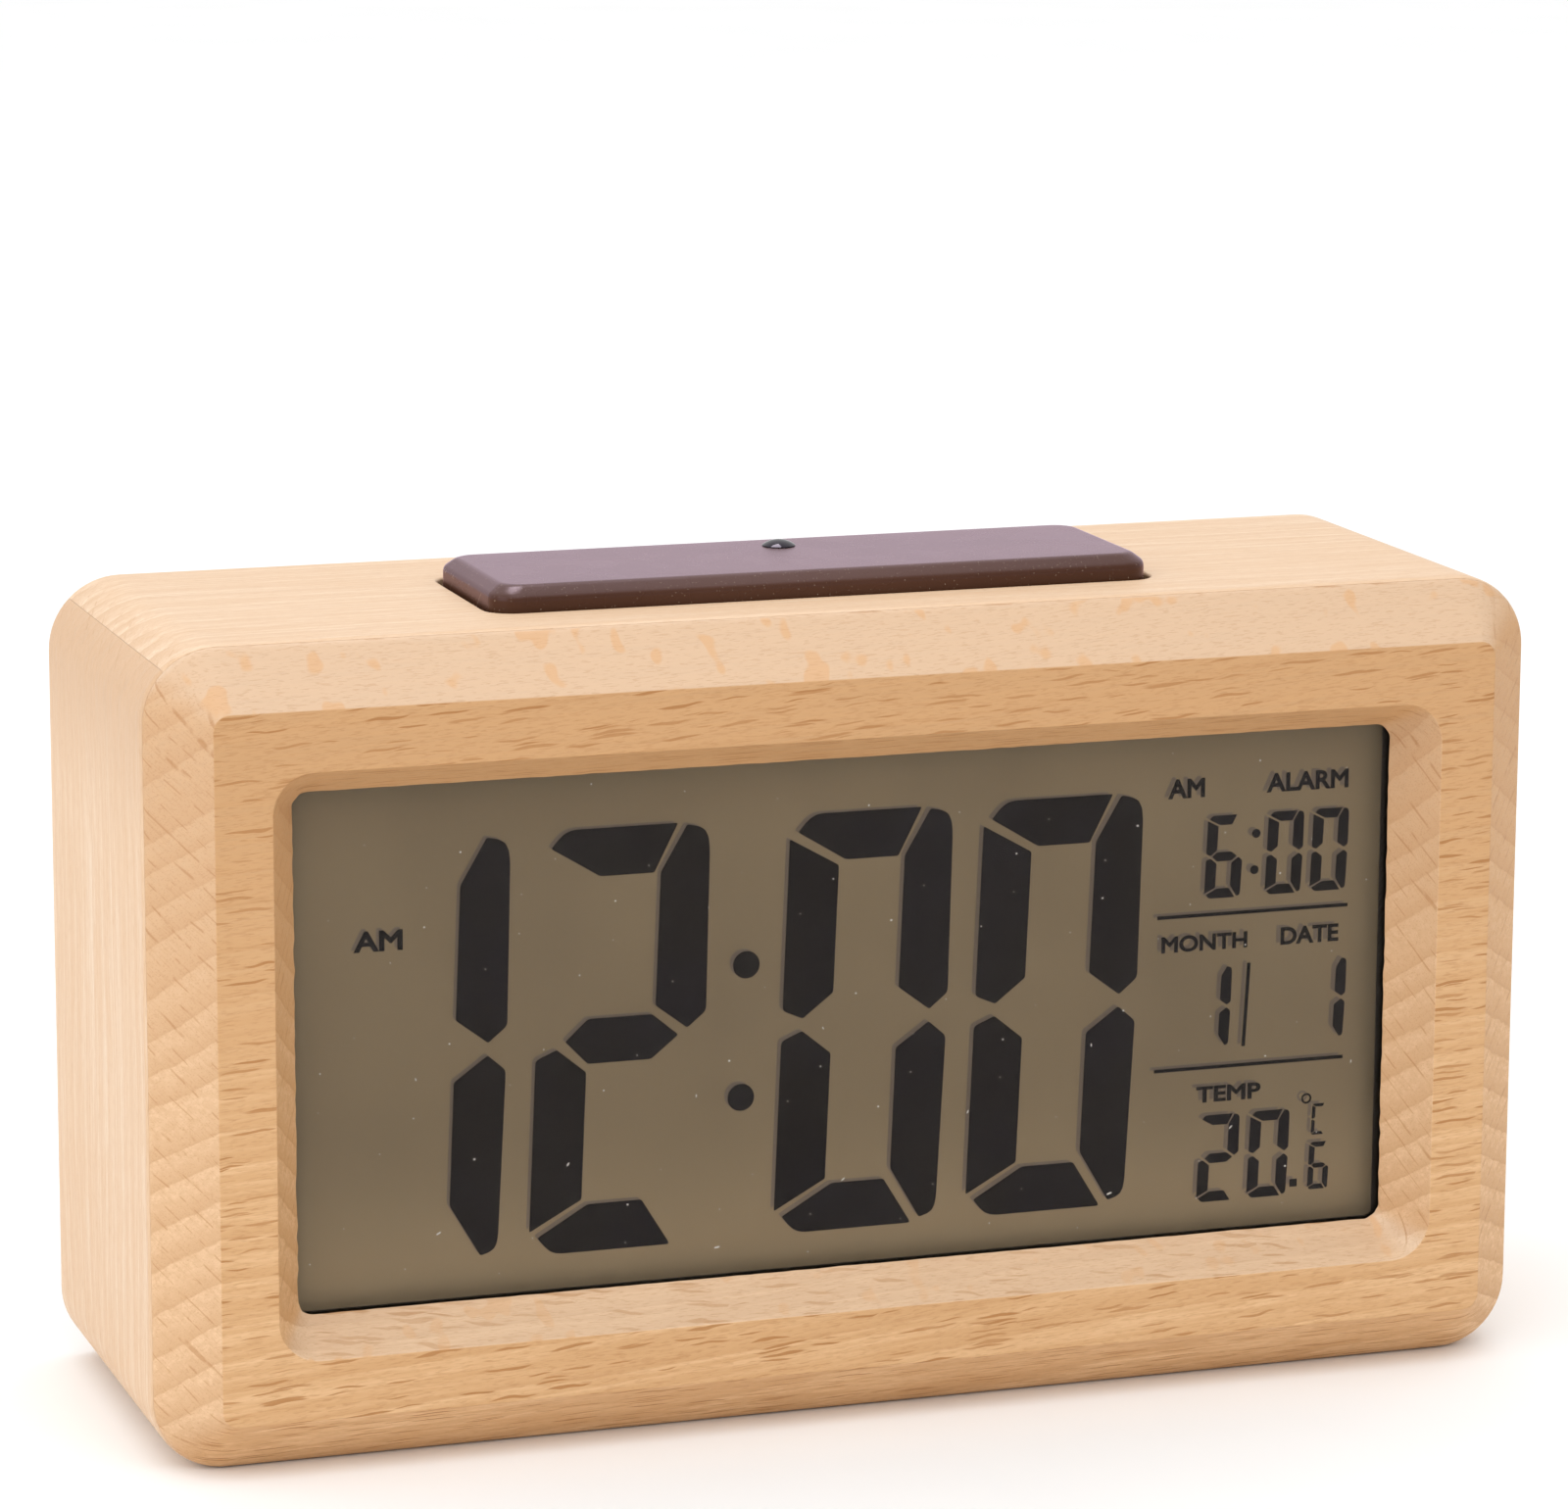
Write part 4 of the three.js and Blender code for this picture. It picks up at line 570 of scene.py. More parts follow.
def beech(name, case, grain, radial, paler=0.0, shift=0.0, flecks=1.0, shaded=None, lean=0.0):
    """Beech as it grows: rings across the radial direction, rays along it, fibres with the grain.

    paler is the share of painted light that makes the wood paler, flecks is the strength of its
    ray flecks, shaded is a range of heights where painted shade darkens the wood a little, and
    lean tilts the rings against the rays.
    """
    grain = Vector(grain).normalized()
    radial = Vector(radial)
    radial = (radial - grain * radial.dot(grain)).normalized()
    tangent = grain.cross(radial)
    r = Finish(name)
    length = r.sum(r.along(r.place, grain), shift)
    across = r.along(r.place, tangent)
    wander = r.pattern((0.012, 0.035, 0.035), 1.0)
    depth = r.sum(r.along(r.place, radial), r.between(wander, 0.2, 0.8, -1.0, 1.0))
    grown = r.vector(length, depth, across)

    def growth(scale, detail=1.0, roughness=0.5):
        """Noise by length along the grain, depth into the tree and way round it."""
        return r.noise(r.stretched(grown, scale), detail, roughness)

    bow = r.times(r.times(across, across), 0.5 / RING_CENTRE)
    tilted = r.sum(depth, r.times(across, lean))
    age = r.times(r.sum(tilted, bow), MM / case.ring_width)
    unequal = r.noise(r.vector(r.times(age, 0.45), 0.37 + shift, 0.61), 1.0)
    age = r.sum(r.sum(age, r.times(unequal, 1.6)), r.times(growth((0.08, 0.5, 1.0)), 0.14))
    ring = r.maths("FRACT", age)
    late = r.times(r.between(ring, 0.1, 0.95), r.between(ring, 0.95, 1.0, 1.0, 0.0))
    line = r.times(r.between(ring, 0.84, 0.94), r.between(ring, 0.94, 0.99, 1.0, 0.0))

    # Rays are flat lenses, one in each cell of the growth, which flat-cut faces show as flecks.
    # The patches of faces along the rays and the thin lines of sawn ends have their own patterns.
    cell_length = 1.6 * case.fleck_length / MM
    waver = r.between(growth((0.3, 0.2, 0.9)), 0.25, 0.75, -0.1, 0.1)
    ray_place = r.vector(length, depth, r.sum(across, waver))
    ray_place = r.stretched(ray_place, (1 / cell_length, 1 / RAY_REACH, 3.3))
    cell = r.node("TexVoronoi", {"Vector": ray_place, "Scale": 1.0})
    chances = r.node("SeparateColor", {0: cell.outputs["Color"]})
    reach = r.between(chances.outputs[0], 0.0, 1.0, 0.2, 0.4)
    ray = r.between(cell.outputs["Distance"], r.times(reach, 0.7), reach, 1.0, 0.0)
    ray = r.times(ray, r.between(chances.outputs[1], 0.0, 1.0, 0.65, 1.0))
    normal = r.normal()
    flat_cut = r.between(r.maths("ABSOLUTE", r.along(normal, radial)), 0.15, 0.55)
    end = r.between(r.maths("ABSOLUTE", r.along(normal, grain)), 0.3, 0.6)
    rays = r.times(r.times(ray, flat_cut), r.between(end, 0.0, 1.0, 1.0, 0.1))
    blobs = r.between(r.pattern((0.36, 0.25, 0.25), 1.0), 0.615, 0.68)
    patches = r.times(blobs, r.between(flat_cut, 0.0, 1.0, 0.5, 0.0))
    patches = r.times(patches, r.between(end, 0.0, 1.0, 1.0, 0.0))
    drift = r.sum(r.times(across, 0.66), growth((0.1, 0.05, 0.9)))
    row = r.maths("ABSOLUTE", r.sum(r.maths("FRACT", drift), -0.5))
    kept = r.between(growth((1.0, 0.22, 0.7)), 0.46, 0.58)
    sheets = r.times(r.between(row, 0.02, 0.07, 1.0, 0.0), r.times(kept, end))
    streaks = r.between(growth((0.6, 0.2, 6.5)), 0.55, 0.68)
    streaks = r.times(streaks, r.sum(flat_cut, end))
    fibres = growth((0.14, 2.6, 2.6), 4.0, 0.75)
    lines = growth((0.03, 1.3, 1.3), 2.0, 0.6)
    pores = r.between(growth((0.9, 7.0, 7.0)), 0.56, 0.68)
    broad = growth((0.012, 0.16, 0.1), 2.0)

    # Painted light: paler lifts the pale, dark and fleck colours towards a pale tone.
    pale = Vector(case.pale_wood).lerp(PAINTED_LIGHT_TONE, paler)
    dark = Vector(case.dark_wood).lerp(PAINTED_LIGHT_TONE, paler * 0.36)
    mark = Vector(case.fleck).lerp(dark, paler * 0.5)
    wood = r.clouded(broad, pale, dark, 0.4)
    # Painted shade: over the shaded heights the wood is painted darker towards the top.
    if shaded:
        height = r.along(r.place, (0, 0, 1))
        wood = r.mix(r.between(height, *shaded, 0.0, 0.95), wood, scaled(dark, 0.92))
    # Painted light: faces turned upwards and to the left are painted paler, as if lit from above
    # and from the left.
    painted_light_above_left = r.sum(
        r.between(r.along(normal, (0, 0, 1)), 0.2, 0.7, 0.0, 0.46),
        r.between(r.along(normal, (-1, 0, 0)), 0.2, 0.7, 0.0, 0.22),
    )
    for amount, tone in (
        (r.times(late, r.between(end, 0.0, 1.0, 0.55, 0.85)), dark),
        (r.times(line, 0.25), mark),
        (r.between(lines, 0.4, 0.62, 0.0, 0.75), dark),
        (r.between(fibres, 0.36, 0.62, 0.0, 0.6), dark),
        (r.times(painted_light_above_left, 1 - paler), PAINTED_LIGHT_TONE),
        (r.times(r.times(late, end), 0.17), mark),
        (r.times(pores, 0.22), mark),
        (r.times(streaks, r.between(end, 0.0, 1.0, 0.2, 0.07)), mark),
        (r.times(rays, 0.9 * flecks), mark),
        (r.times(sheets, 0.5), mark),
        (r.times(patches, flecks), scaled(pale, AMBER)),
    ):
        wood = r.mix(amount, wood, tone)
    # More painted shade over the same heights, multiplied in at the end.
    if shaded:
        wood = r.mix(r.between(height, *shaded), wood, SHADE, "MULTIPLY")
    rough = r.between(fibres, 0.25, 0.75, case.wood_roughness - 0.06, case.wood_roughness + 0.07)
    relief = r.sum(r.times(fibres, 0.6), r.times(r.sum(rays, pores), -0.3))
    return r.with_relief(wood, rough, relief, 0.05, 0.8, Specular_IOR_Level=0.45)


def moulded(name, base, roughness, grain=0.22, relief=0.012, dust=0.0, sheen=None):
    """Moulded plastic: fine spark-eroded texture, slight unevenness and paler worn edges."""
    r = Finish(name)
    fine = r.pattern(1 / grain)
    lighter = [min(1.0, c) for c in scaled(base, 1.7, (0.015,) * 3)]
    tone = r.clouded(r.pattern((0.05, 0.08, 0.06), 3.0), base, lighter, 0.2)
    tone = r.mix(r.edges(0.4, 0.35), tone, lighter)
    # Painted sheen: with a sheen, faces turned upwards are painted a pale mauve-grey.
    if sheen:
        upward = r.between(r.along(r.normal(), (0, 0, 1)), 0.3, 0.7, 0.0, 0.037)
        tone = r.mix(upward, tone, (0.5, 0.44, 0.47))
    spread = 0.02 if sheen else 0.06
    rough = r.between(fine, 0.3, 0.7, max(roughness - spread, 0.05), roughness + spread)
    if dust:
        tone = r.mix(r.specks(0.32, 0.032, dust), tone, (0.7, 0.58, 0.45))
    normal = r.bump(fine, relief, 0.8)
    if not sheen:
        return r.done(r.surface(tone, rough, normal))
    body = r.surface(tone, rough, normal, Specular_IOR_Level=0.0)
    gloss = r.node("BsdfGlossy", {"Color": opaque(sheen), "Roughness": rough, "Normal": normal})
    amount = r.node("Fresnel", {"IOR": 1.42, "Normal": normal}).outputs[0]
    return r.done(r.blended(amount, body, gloss.outputs[0]))


def glass_sheet(name, tint, veil, gloss):
    """A thin clear sheet: light passes straight through, with a faint veil and gloss."""
    r = Finish(name)
    clear = r.node("BsdfTransparent", {"Color": opaque(tint)}).outputs[0]
    smear = r.between(r.pattern((0.06, 0.06, 0.05), 3.0), 0.35, 0.7, veil * 0.4, veil)
    hazy = r.blended(smear, clear, r.surface((0.62, 0.58, 0.53), 0.5))
    shine = r.node("BsdfGlossy", {"Color": (0.95, 0.8, 0.7, 1), "Roughness": 0.08}).outputs[0]
    return r.done(r.blended(r.node("Fresnel", {"IOR": gloss}).outputs[0], hazy, shine))


def display_film(name, base):
    """The film behind the liquid crystal: matt, mottled and brushed, with painted light that makes
    it paler towards its lower edge.
    """
    r = Finish(name)
    brushed = r.pattern((0.4, 9.0, 9.0))
    deeper = scaled(base, 0.88)
    # Painted light: the film is painted paler towards its lower edge.
    painted_light_low = r.between(r.along(r.place, (0, 0, 1)), 11.0, 32.0, 1.0, 0.0)
    mottled = r.clouded(r.pattern((0.05, 0.05, 0.045), 3.0), base, deeper)
    tone = r.clouded(brushed, r.mix(painted_light_low, mottled, scaled(base, 1.45)), deeper, 0.12)
    return r.with_relief(tone, 0.6, brushed, 0.004, 0.5, Specular_IOR_Level=0.2)


def liquid_crystal(figure):
    """The dark figures: nearly black, a little clouded with blue."""
    r = Finish("liquid_crystal")
    cloudy = r.pattern(0.09, 3.0)
    tone = r.clouded(cloudy, figure, scaled(figure, 1.3, (0.0, 0.0005, 0.004)))
    return r.with_relief(tone, 0.45, cloudy, 0.002, 0.3, Specular_IOR_Level=0.1)


def lint_fibre():
    """Pale cotton lint, darker in places."""
    r = Finish("lint")
    uneven = r.pattern(4.0)
    tone = r.mix(uneven, (0.9, 0.86, 0.8), (0.45, 0.42, 0.38))
    return r.with_relief(tone, 0.9, uneven, 0.01)


def plated_steel(name, base):
    """Nickel-plated steel with fine turning marks and faint stains."""
    r = Finish(name)
    marks = r.pattern((12.0, 1.2, 12.0))
    stains = r.between(r.pattern(0.6, 3.0), 0.45, 0.75, 0.0, 0.4)
    tone = r.mix(stains, base, (0.36, 0.33, 0.29))
    rough = r.between(marks, 0.3, 0.7, 0.22, 0.38)
    return r.with_relief(tone, rough, marks, 0.006, 0.5, Metallic=1.0)


def circuit_board(name):
    """Green solder mask over copper tracks on glass fibre."""
    r = Finish(name)
    black, white = (0.0, 0.0, 0.0, 1.0), (1.0, 1.0, 1.0, 1.0)
    inputs = {"Vector": r.stretched(r.place, 0.5), "Scale": 1.0, "Mortar Size": 0.06}
    inputs |= {"Brick Width": 3.1, "Row Height": 0.62}
    inputs |= {"Color1": black, "Color2": black, "Mortar": white}
    lanes = r.node("TexBrick", inputs, offset=0.37).outputs[0]
    mask = r.clouded(r.pattern(3.0), (0.012, 0.1, 0.035), (0.02, 0.15, 0.06), 0.3)
    tone = r.mix(r.times(lanes, 0.7), mask, (0.045, 0.25, 0.09))
    return r.with_relief(tone, 0.32, lanes, 0.03, 0.8)


def potting_resin(name):
    """Poured black resin, uneven and shiny."""
    r = Finish(name)
    waves = r.pattern(0.35, 3.0)
    tone = r.clouded(waves, (0.006, 0.006, 0.007), (0.016, 0.015, 0.015))
    return r.with_relief(tone, r.between(waves, 0.3, 0.7, 0.15, 0.32), waves, 0.2, 0.6)


def smoked_lens(name, base):
    """Polished smoked plastic with a trace of moulding flow."""
    r = Finish(name)
    flow = r.pattern((1.2, 1.2, 2.5))
    tone = r.clouded(flow, base, (0.012, 0.011, 0.016), 0.5)
    rough = r.between(flow, 0.3, 0.7, 0.05, 0.1)
    gloss = {"Specular_IOR_Level": 0.35, "Specular_Tint": (0.86, 0.7, 0.92, 1.0)}
    return r.with_relief(tone, rough, flow, 0.01, 0.3, **gloss)


def layered_rubber(name):
    """Rubber in dark and light layers, which carries the glass's contacts."""
    r = Finish(name)
    layers = r.times(r.along(r.place, (1, 0, 0)), 4.0)
    stripe = r.between(r.maths("FRACT", layers), 0.4, 0.6)
    grime = r.between(r.pattern(2.0), 0.4, 0.7, 0.0, 0.3)
    tone = r.mix(stripe, (0.012, 0.012, 0.013), (0.11, 0.105, 0.1))
    return r.with_relief(r.mix(grime, tone, (0.05,) * 3), 0.7, stripe, 0.02, 0.5)


def flat_cable(name):
    """Grey flat cable with its wires showing as ridges."""
    r = Finish(name)
    wire = r.maths("SINE", r.times(r.along(r.place, (1, 0, 0)), 2 * math.pi))
    ridge = r.between(wire, -1.0, 1.0)
    tone = r.mix(ridge, (0.24, 0.24, 0.235), (0.42, 0.42, 0.41))
    scuffs = r.between(r.pattern(0.8, 3.0), 0.5, 0.7, 0.0, 0.3)
    return r.with_relief(r.mix(scuffs, tone, (0.2, 0.19, 0.18)), 0.42, ridge, 0.1, 0.8)


def acrylic(name):
    """Clear acrylic light guide with its printed dots."""
    r = Finish(name)
    inputs = {"Vector": r.stretched(r.place, 4.0), "Scale": 1.0, "Randomness": 0.15}
    cell = r.node("TexVoronoi", inputs)
    dots = r.between(cell.outputs["Distance"], 0.22, 0.3, 1.0, 0.0)
    body = r.clouded(r.pattern(0.1), (0.66, 0.7, 0.7), (0.74, 0.77, 0.77))
    return r.with_relief(r.mix(dots, body, (0.9, 0.9, 0.88)), 0.14, dots, 0.01, 0.4)


def cell_sleeve(name, base, low, high):
    """The printed sleeve of a cell: a coloured label with a silver band at one end."""
    r = Finish(name)
    length = r.along(r.place, (1, 0, 0))
    band = r.between(length, low, low + 0.1 if high > low else low - 0.1)
    wrinkles = r.pattern((0.25, 2.2, 2.2), 3.0)
    label = r.clouded(wrinkles, base, (0.1, 0.25, 0.5), 0.12)
    tone = r.mix(band, label, (0.52, 0.52, 0.5))
    return r.with_relief(tone, 0.3, wrinkles, 0.03, 0.5, Coat_Weight=0.3)


# Case


BEVEL_START = (11.1, 11.4)
SIGHT = (14.3, 14.35)


def chamfer_run(case):
    """The rounding over the seam between chamfer and boards: distance in, and depth."""
    seam = Vector((0, FRONT_BOARD))
    along_chamfer = Vector((CHAMFER, -FRONT_BOARD)).normalized()
    edge = case.edge / MM
    return rounded_off(seam + Vector((0, edge)), seam, seam + along_chamfer * edge, 8)


def rails(case):
    """The front board's section, as half width, half height, corner radius and depth."""
    crisp = case.crisp_edge / MM
    worn = [run for run in chamfer_run(case) if run.y < FRONT_BOARD]
    start = (worn[0].x * 0.85, FRONT_BOARD)

    def rail(in_x, in_z, radius, depth, rounding):
        return Vector((CASE_HALF - in_x, CASE_MIDDLE - in_z, radius, depth)), rounding

    outer = [rail(u, u, CASE_CORNER - u, depth, 0) for u, depth in (start, *worn)]
    face = [rail(CHAMFER, CHAMFER, 1.6, 0, crisp), rail(*BEVEL_START, 4, 0, crisp)]
    thin_edge = rail(*SIGHT, 1.5, FRONT_BOARD, 0.12)
    return eased([*outer, *face, thin_edge], loop=True, steps=4)


def front_board(case):
    rings = []
    sight = CASE_HALF - SIGHT[0]
    for half_x, half_z, radius, depth in rails(case):
        # The bevel's thin inner edge is slightly torn by the cutter.
        near = depth > 4 and half_x < sight + 0.5
        torn = max(0.0, 1 - (half_x - sight) / 0.5) if near else 0
        points = []
        for u, v in rounded_ring(half_x, half_z, radius, 14, 90, 46):
            flaw = noise.noise(Vector((u * 1.3, v * 1.3, 3.1)))
            flaw += 0.7 * max(0.0, noise.noise(Vector((u * 0.31, v * 0.31, 9.2))) - 0.15)
            out = 1 + torn * 0.11 * flaw / 40
            points.append((u * out, at(depth), CASE_MIDDLE + v * out))
        rings.append(points)
    return loft("front_board_beech", rings, loop=True)


def case_board(name, horizontal, sign, case):
    """A mitred board behind the front board, with its half of each round corner."""
    halves = (CASE_HALF, CASE_MIDDLE) if horizontal else (CASE_MIDDLE, CASE_HALF)
    joint = 0.014

    def outline(inset):
        across, level = halves
        radius = CASE_CORNER - inset
        corner = Vector((across - CASE_CORNER, level - CASE_CORNER))
        turns = [math.radians(45 + 45 * step / 8) for step in range(9)]
        arc = [corner + Vector((math.cos(turn), math.sin(turn))) * radius for turn in turns]
        right = [(across - BOARD - joint, level - BOARD), (arc[0].x - joint, arc[0].y)]
        right += [tuple(p) for p in arc[1:]]
        left = [(-a, b) for a, b in reversed(right)]
        placed = [(a, sign * b) for a, b in right + left]
        if not horizontal:
            placed = [(b, a) for a, b in placed]
        return [(u, CASE_MIDDLE + v) for u, v in placed]

    worn = [run for run in chamfer_run(case) if run.y > FRONT_BOARD]
    rounding = case.edge / MM * 0.6
    turns = [math.pi / 2 * k / 4 for k in range(5)]
    back = [(rounding * (1 - math.sin(turn)), rounding * (1 - math.cos(turn))) for turn in turns]
    profile = [(worn[-1].x * 1.15, FRONT_BOARD + 0.02)]
    profile += [(run.x, run.y) for run in reversed(worn)]
    depth = BACK - FRONT
    profile += [(inset, depth - from_back) for from_back, inset in back]
    rings = [[(u, at(level), v) for u, v in outline(inset)] for inset, level in profile]
    return loft(name, rings)


SLOT_MIDDLE = node_middle("snooze_bar")[1]
BAR_HALF = 33.6
BAR_REACH = (node_box("snooze_bar")[1].y - node_box("snooze_bar")[0].y) / 2
BAR_CORNER = 2.8
BAR_CHAMFER = (1.25, 0.95)
SLOT_GAP = (0.5, 0.45)


def slotted(board):
    """Cuts the snooze bar's slot through the top board and rounds its rim."""
    half = BAR_HALF + SLOT_GAP[0], BAR_REACH + SLOT_GAP[1]
    outline = rounded_outline(0.0, SLOT_MIDDLE, *half, BAR_CORNER, 8)
    cut(board, prism("slot", outline, CASE_HEIGHT - BOARD - 1, CASE_HEIGHT + 1, "z"))

    def on_rim(middle):
        return abs(middle.x) < CASE_HALF - 20 and middle.z > CASE_HEIGHT - 1e-3

    return softened(board, 0.3, 3, 60, on_rim)


class CLOCK_OT_front_board(bpy.types.Operator):
    """Builds the bevelled and chamfered front board"""

    bl_idname = "clock.front_board"
    bl_label = "Front board"

    def execute(self, context):
        case = context.scene.clock_case
        # Painted shade: the front board is painted darker towards its top.
        painted_shade_heights = (CASE_HEIGHT - 60, CASE_HEIGHT - 6)
        ways = (1, 0, 0.07), (0, -0.66, -0.75)
        wood = beech("beech_front", case, *ways, shaded=painted_shade_heights, lean=0.235)
        dressed(front_board(case), wood, "front_board", crease=60)
        return {"FINISHED"}


class CLOCK_OT_case_boards(bpy.types.Operator):
    """Builds the four mitred boards behind the front board"""

    bl_idname = "clock.case_boards"
    bl_label = "Case boards"

    def execute(self, context):
        case = context.scene.clock_case
        # paler paints light onto each board: most on the left and the top, which face the lamps,
        # less on the right and least on the bottom.
        for place, horizontal, sign, grain, radial, paler, shift, flecks in (
            ("top", True, 1, (1, 0.01, 0), (0, 0.94, 0.34), 0.65, 40.0, 0.12),
            ("bottom", True, -1, (1, -0.01, 0), (0, 0.8, -0.6), 0.2, 90.0, 0.8),
            ("left", False, -1, (0, 0.012, 1), (0.42, 0.9, 0), 0.85, 130.0, 0.1),
            ("right", False, 1, (0, -0.01, 1), (-0.5, 0.86, 0), 0.5, 170.0, 0.4),
        ):
            # Painted shade: the left board is painted darker near its top.
            painted_shade_heights = (CASE_HEIGHT - 22, CASE_HEIGHT - 4) if place == "left" else None
            wood = beech("beech_" + place, case, grain, radial, paler, shift, flecks, painted_shade_heights)
            piece = case_board(f"case_{place}_board_beech", horizontal, sign, case)
            if place == "top":
                slotted(piece)
            dressed(piece, wood, f"case_{place}_board", crease=50)
        return {"FINISHED"}


# Display


def figure_outlines(outer, top, stroke, bar):
    """The seven strokes of an upright figure about its middle: each corner and its rounding.

    outer is half the figure's width, top half its height, stroke and bar the thickness of
    its upright and level strokes.
    """
    inner = outer - stroke
    under = top - bar
    waist = stroke * 0.59
    tip = stroke * 0.12
    sharp = stroke * 0.04
    round_corner = stroke * 0.42
    upper_right = [
        (outer - stroke * 0.52, top - sharp, sharp),
        (outer - stroke * 0.06, top - stroke * 0.14, round_corner),
        (outer, waist * 0.72, sharp * 2),
        (outer - stroke * 0.36, tip, sharp),
        (inner, waist, sharp),
        (inner, under, sharp),
    ]
    upper_left = [
        (-outer, top - stroke * 0.46, sharp),
        (-inner, under - stroke * 0.1, sharp),
        (-inner, waist, sharp),
        (-outer + stroke * 0.41, tip, sharp),
        (-outer, waist * 0.5, sharp * 2),
    ]
    level_top = [
        (-outer + stroke * 0.16, top - stroke * 0.34, sharp),
        (-outer + stroke * 0.44, top, round_corner * 0.5),
        (inner + stroke * 0.3, top, sharp),
        (inner - stroke * 0.13, under, sharp),
        (-inner + stroke * 0.13, under, sharp),
    ]
    middle = [
        (-outer + stroke * 0.57, tip * 0.2, sharp),
        (-inner, bar * 0.47, sharp),
        (inner - stroke * 0.06, bar * 0.47, sharp),
        (outer - stroke * 0.53, 0.0, sharp),
        (inner - stroke * 0.05, -bar * 0.47, sharp),
        (-inner + stroke * 0.02, -bar * 0.47, sharp),
    ]
    lower_right = [
        (outer - stroke * 0.37, top - stroke * 0.1, sharp),
        (outer - stroke * 0.04, top - stroke * 0.2, round_corner * 0.7),
        *upper_right[2:5],
        (inner, under - stroke * 0.19, sharp),
    ]
    level_foot = [*level_top[:2], (inner + stroke * 0.47, top, sharp * 2), *level_top[3:]]

    def down(outline):
        return [(u, -v, rounding) for u, v, rounding in reversed(outline)]

    return {
        "a": level_top,
        "b": upper_right,
        "c": down(lower_right),
        "d": down(level_foot),
        "e": down(upper_left),
        "f": upper_left,
        "g": middle,
    }


STROKES = {
    "0": "abcdef", "1": "bc", "2": "abged", "3": "abgcd", "4": "fgbc", "5": "afgcd",
    "6": "afgedc", "7": "abc", "8": "abcdefg", "9": "abcdfg", "C": "afed",
}
CRYSTAL_DEPTH = 7.1
CRYSTAL = 0.04
REAR_FILM = 0.2
SIGHT_HALF = (55.7, 25.25)


def plate(outline):
    """A thin plate of liquid crystal with this outline in X and Z."""
    return prism("plate", outline, at(CRYSTAL_DEPTH), at(CRYSTAL_DEPTH + CRYSTAL), "y")


def figure(sign, x, z, size, slant):
    shapes = figure_outlines(*size)
    plates = []
    for name in STROKES[sign]:
        corners = [(Vector((u, v)), rounding) for u, v, rounding in shapes[name]]
        outline = [(x + u + slant * v, z + v) for u, v in eased(corners, loop=True)]
        plates.append(plate(outline))
    return plates


def dot(x, z, radius, sides=32):
    return plate(circle(radius, sides, x, z))


def rule(x0, z0, x1, z1, width):
    run = Vector((x1 - x0, z1 - z0)).normalized() * width / 2
    side = Vector((-run.y, run.x))
    start, end = Vector((x0, z0)), Vector((x1, z1))
    return plate([start + side, start - side, end - side, end + side])


def ring(x, z, radius, width):
    mark = dot(x, z, radius + width / 2)
    inside = circle(radius - width / 2, 24, x, z)
    cut(mark, prism("inside", inside, at(CRYSTAL_DEPTH - 1), at(CRYSTAL_DEPTH + 1), "y"))
    return mark


def word(text, x, z):
    """A word of plain letters fitted into a range of X and of Z."""
    letters = bpy.data.curves.new(text, "FONT")
    letters.body = text
    letters.extrude = 0.01
    letters.bevel_depth = 0.033
    letters.bevel_resolution = 0
    letters.resolution_u = 6
    holder = shown(text, letters)
    shapes = bpy.context.evaluated_depsgraph_get()
    mesh = bpy.data.meshes.new_from_object(holder.evaluated_get(shapes))
    bpy.data.objects.remove(holder)
    bpy.data.curves.remove(letters)
    places = [v.co.copy() for v in mesh.vertices]
    low = [min(place[k] for place in places) for k in range(3)]
    size = [max(place[k] for place in places) - low[k] for k in range(3)]
    for v, place in zip(mesh.vertices, places):
        u, h, thick = ((place[k] - low[k]) / size[k] for k in range(3))
        depth = at(CRYSTAL_DEPTH + CRYSTAL * (1 - thick))
        v.co = Vector((x[0] + u * (x[1] - x[0]), depth, z[0] + h * (z[1] - z[0]))) * MM
    return shown("word", mesh)


# Half width, half height, and the thickness of the upright and the level strokes
BIG = (8.48, 20.8, 5.12, 4.7)
SMALL = (1.93, 4.17, 1.14, 0.98)
DATED = (1.93, 4.09, 1.16, 0.98)
DEGREES = (2.14, 4.45, 1.2, 1.05)
TENTHS = (1.1, 2.44, 0.6, 0.52)
UNIT = (0.76, 1.6, 0.36, 0.32)
BIG_START = -43.12
BIG_LEVEL = 38.42
BIG_PITCH = 19.87
COLON_GAP = 4.88
SHADE_GAP = 0.012
# Tint of the marks' painted shadow on the film
PAINTED_SHADOW_TINT = (0.66, 0.68, 0.86)
LINT_COUNT = 110


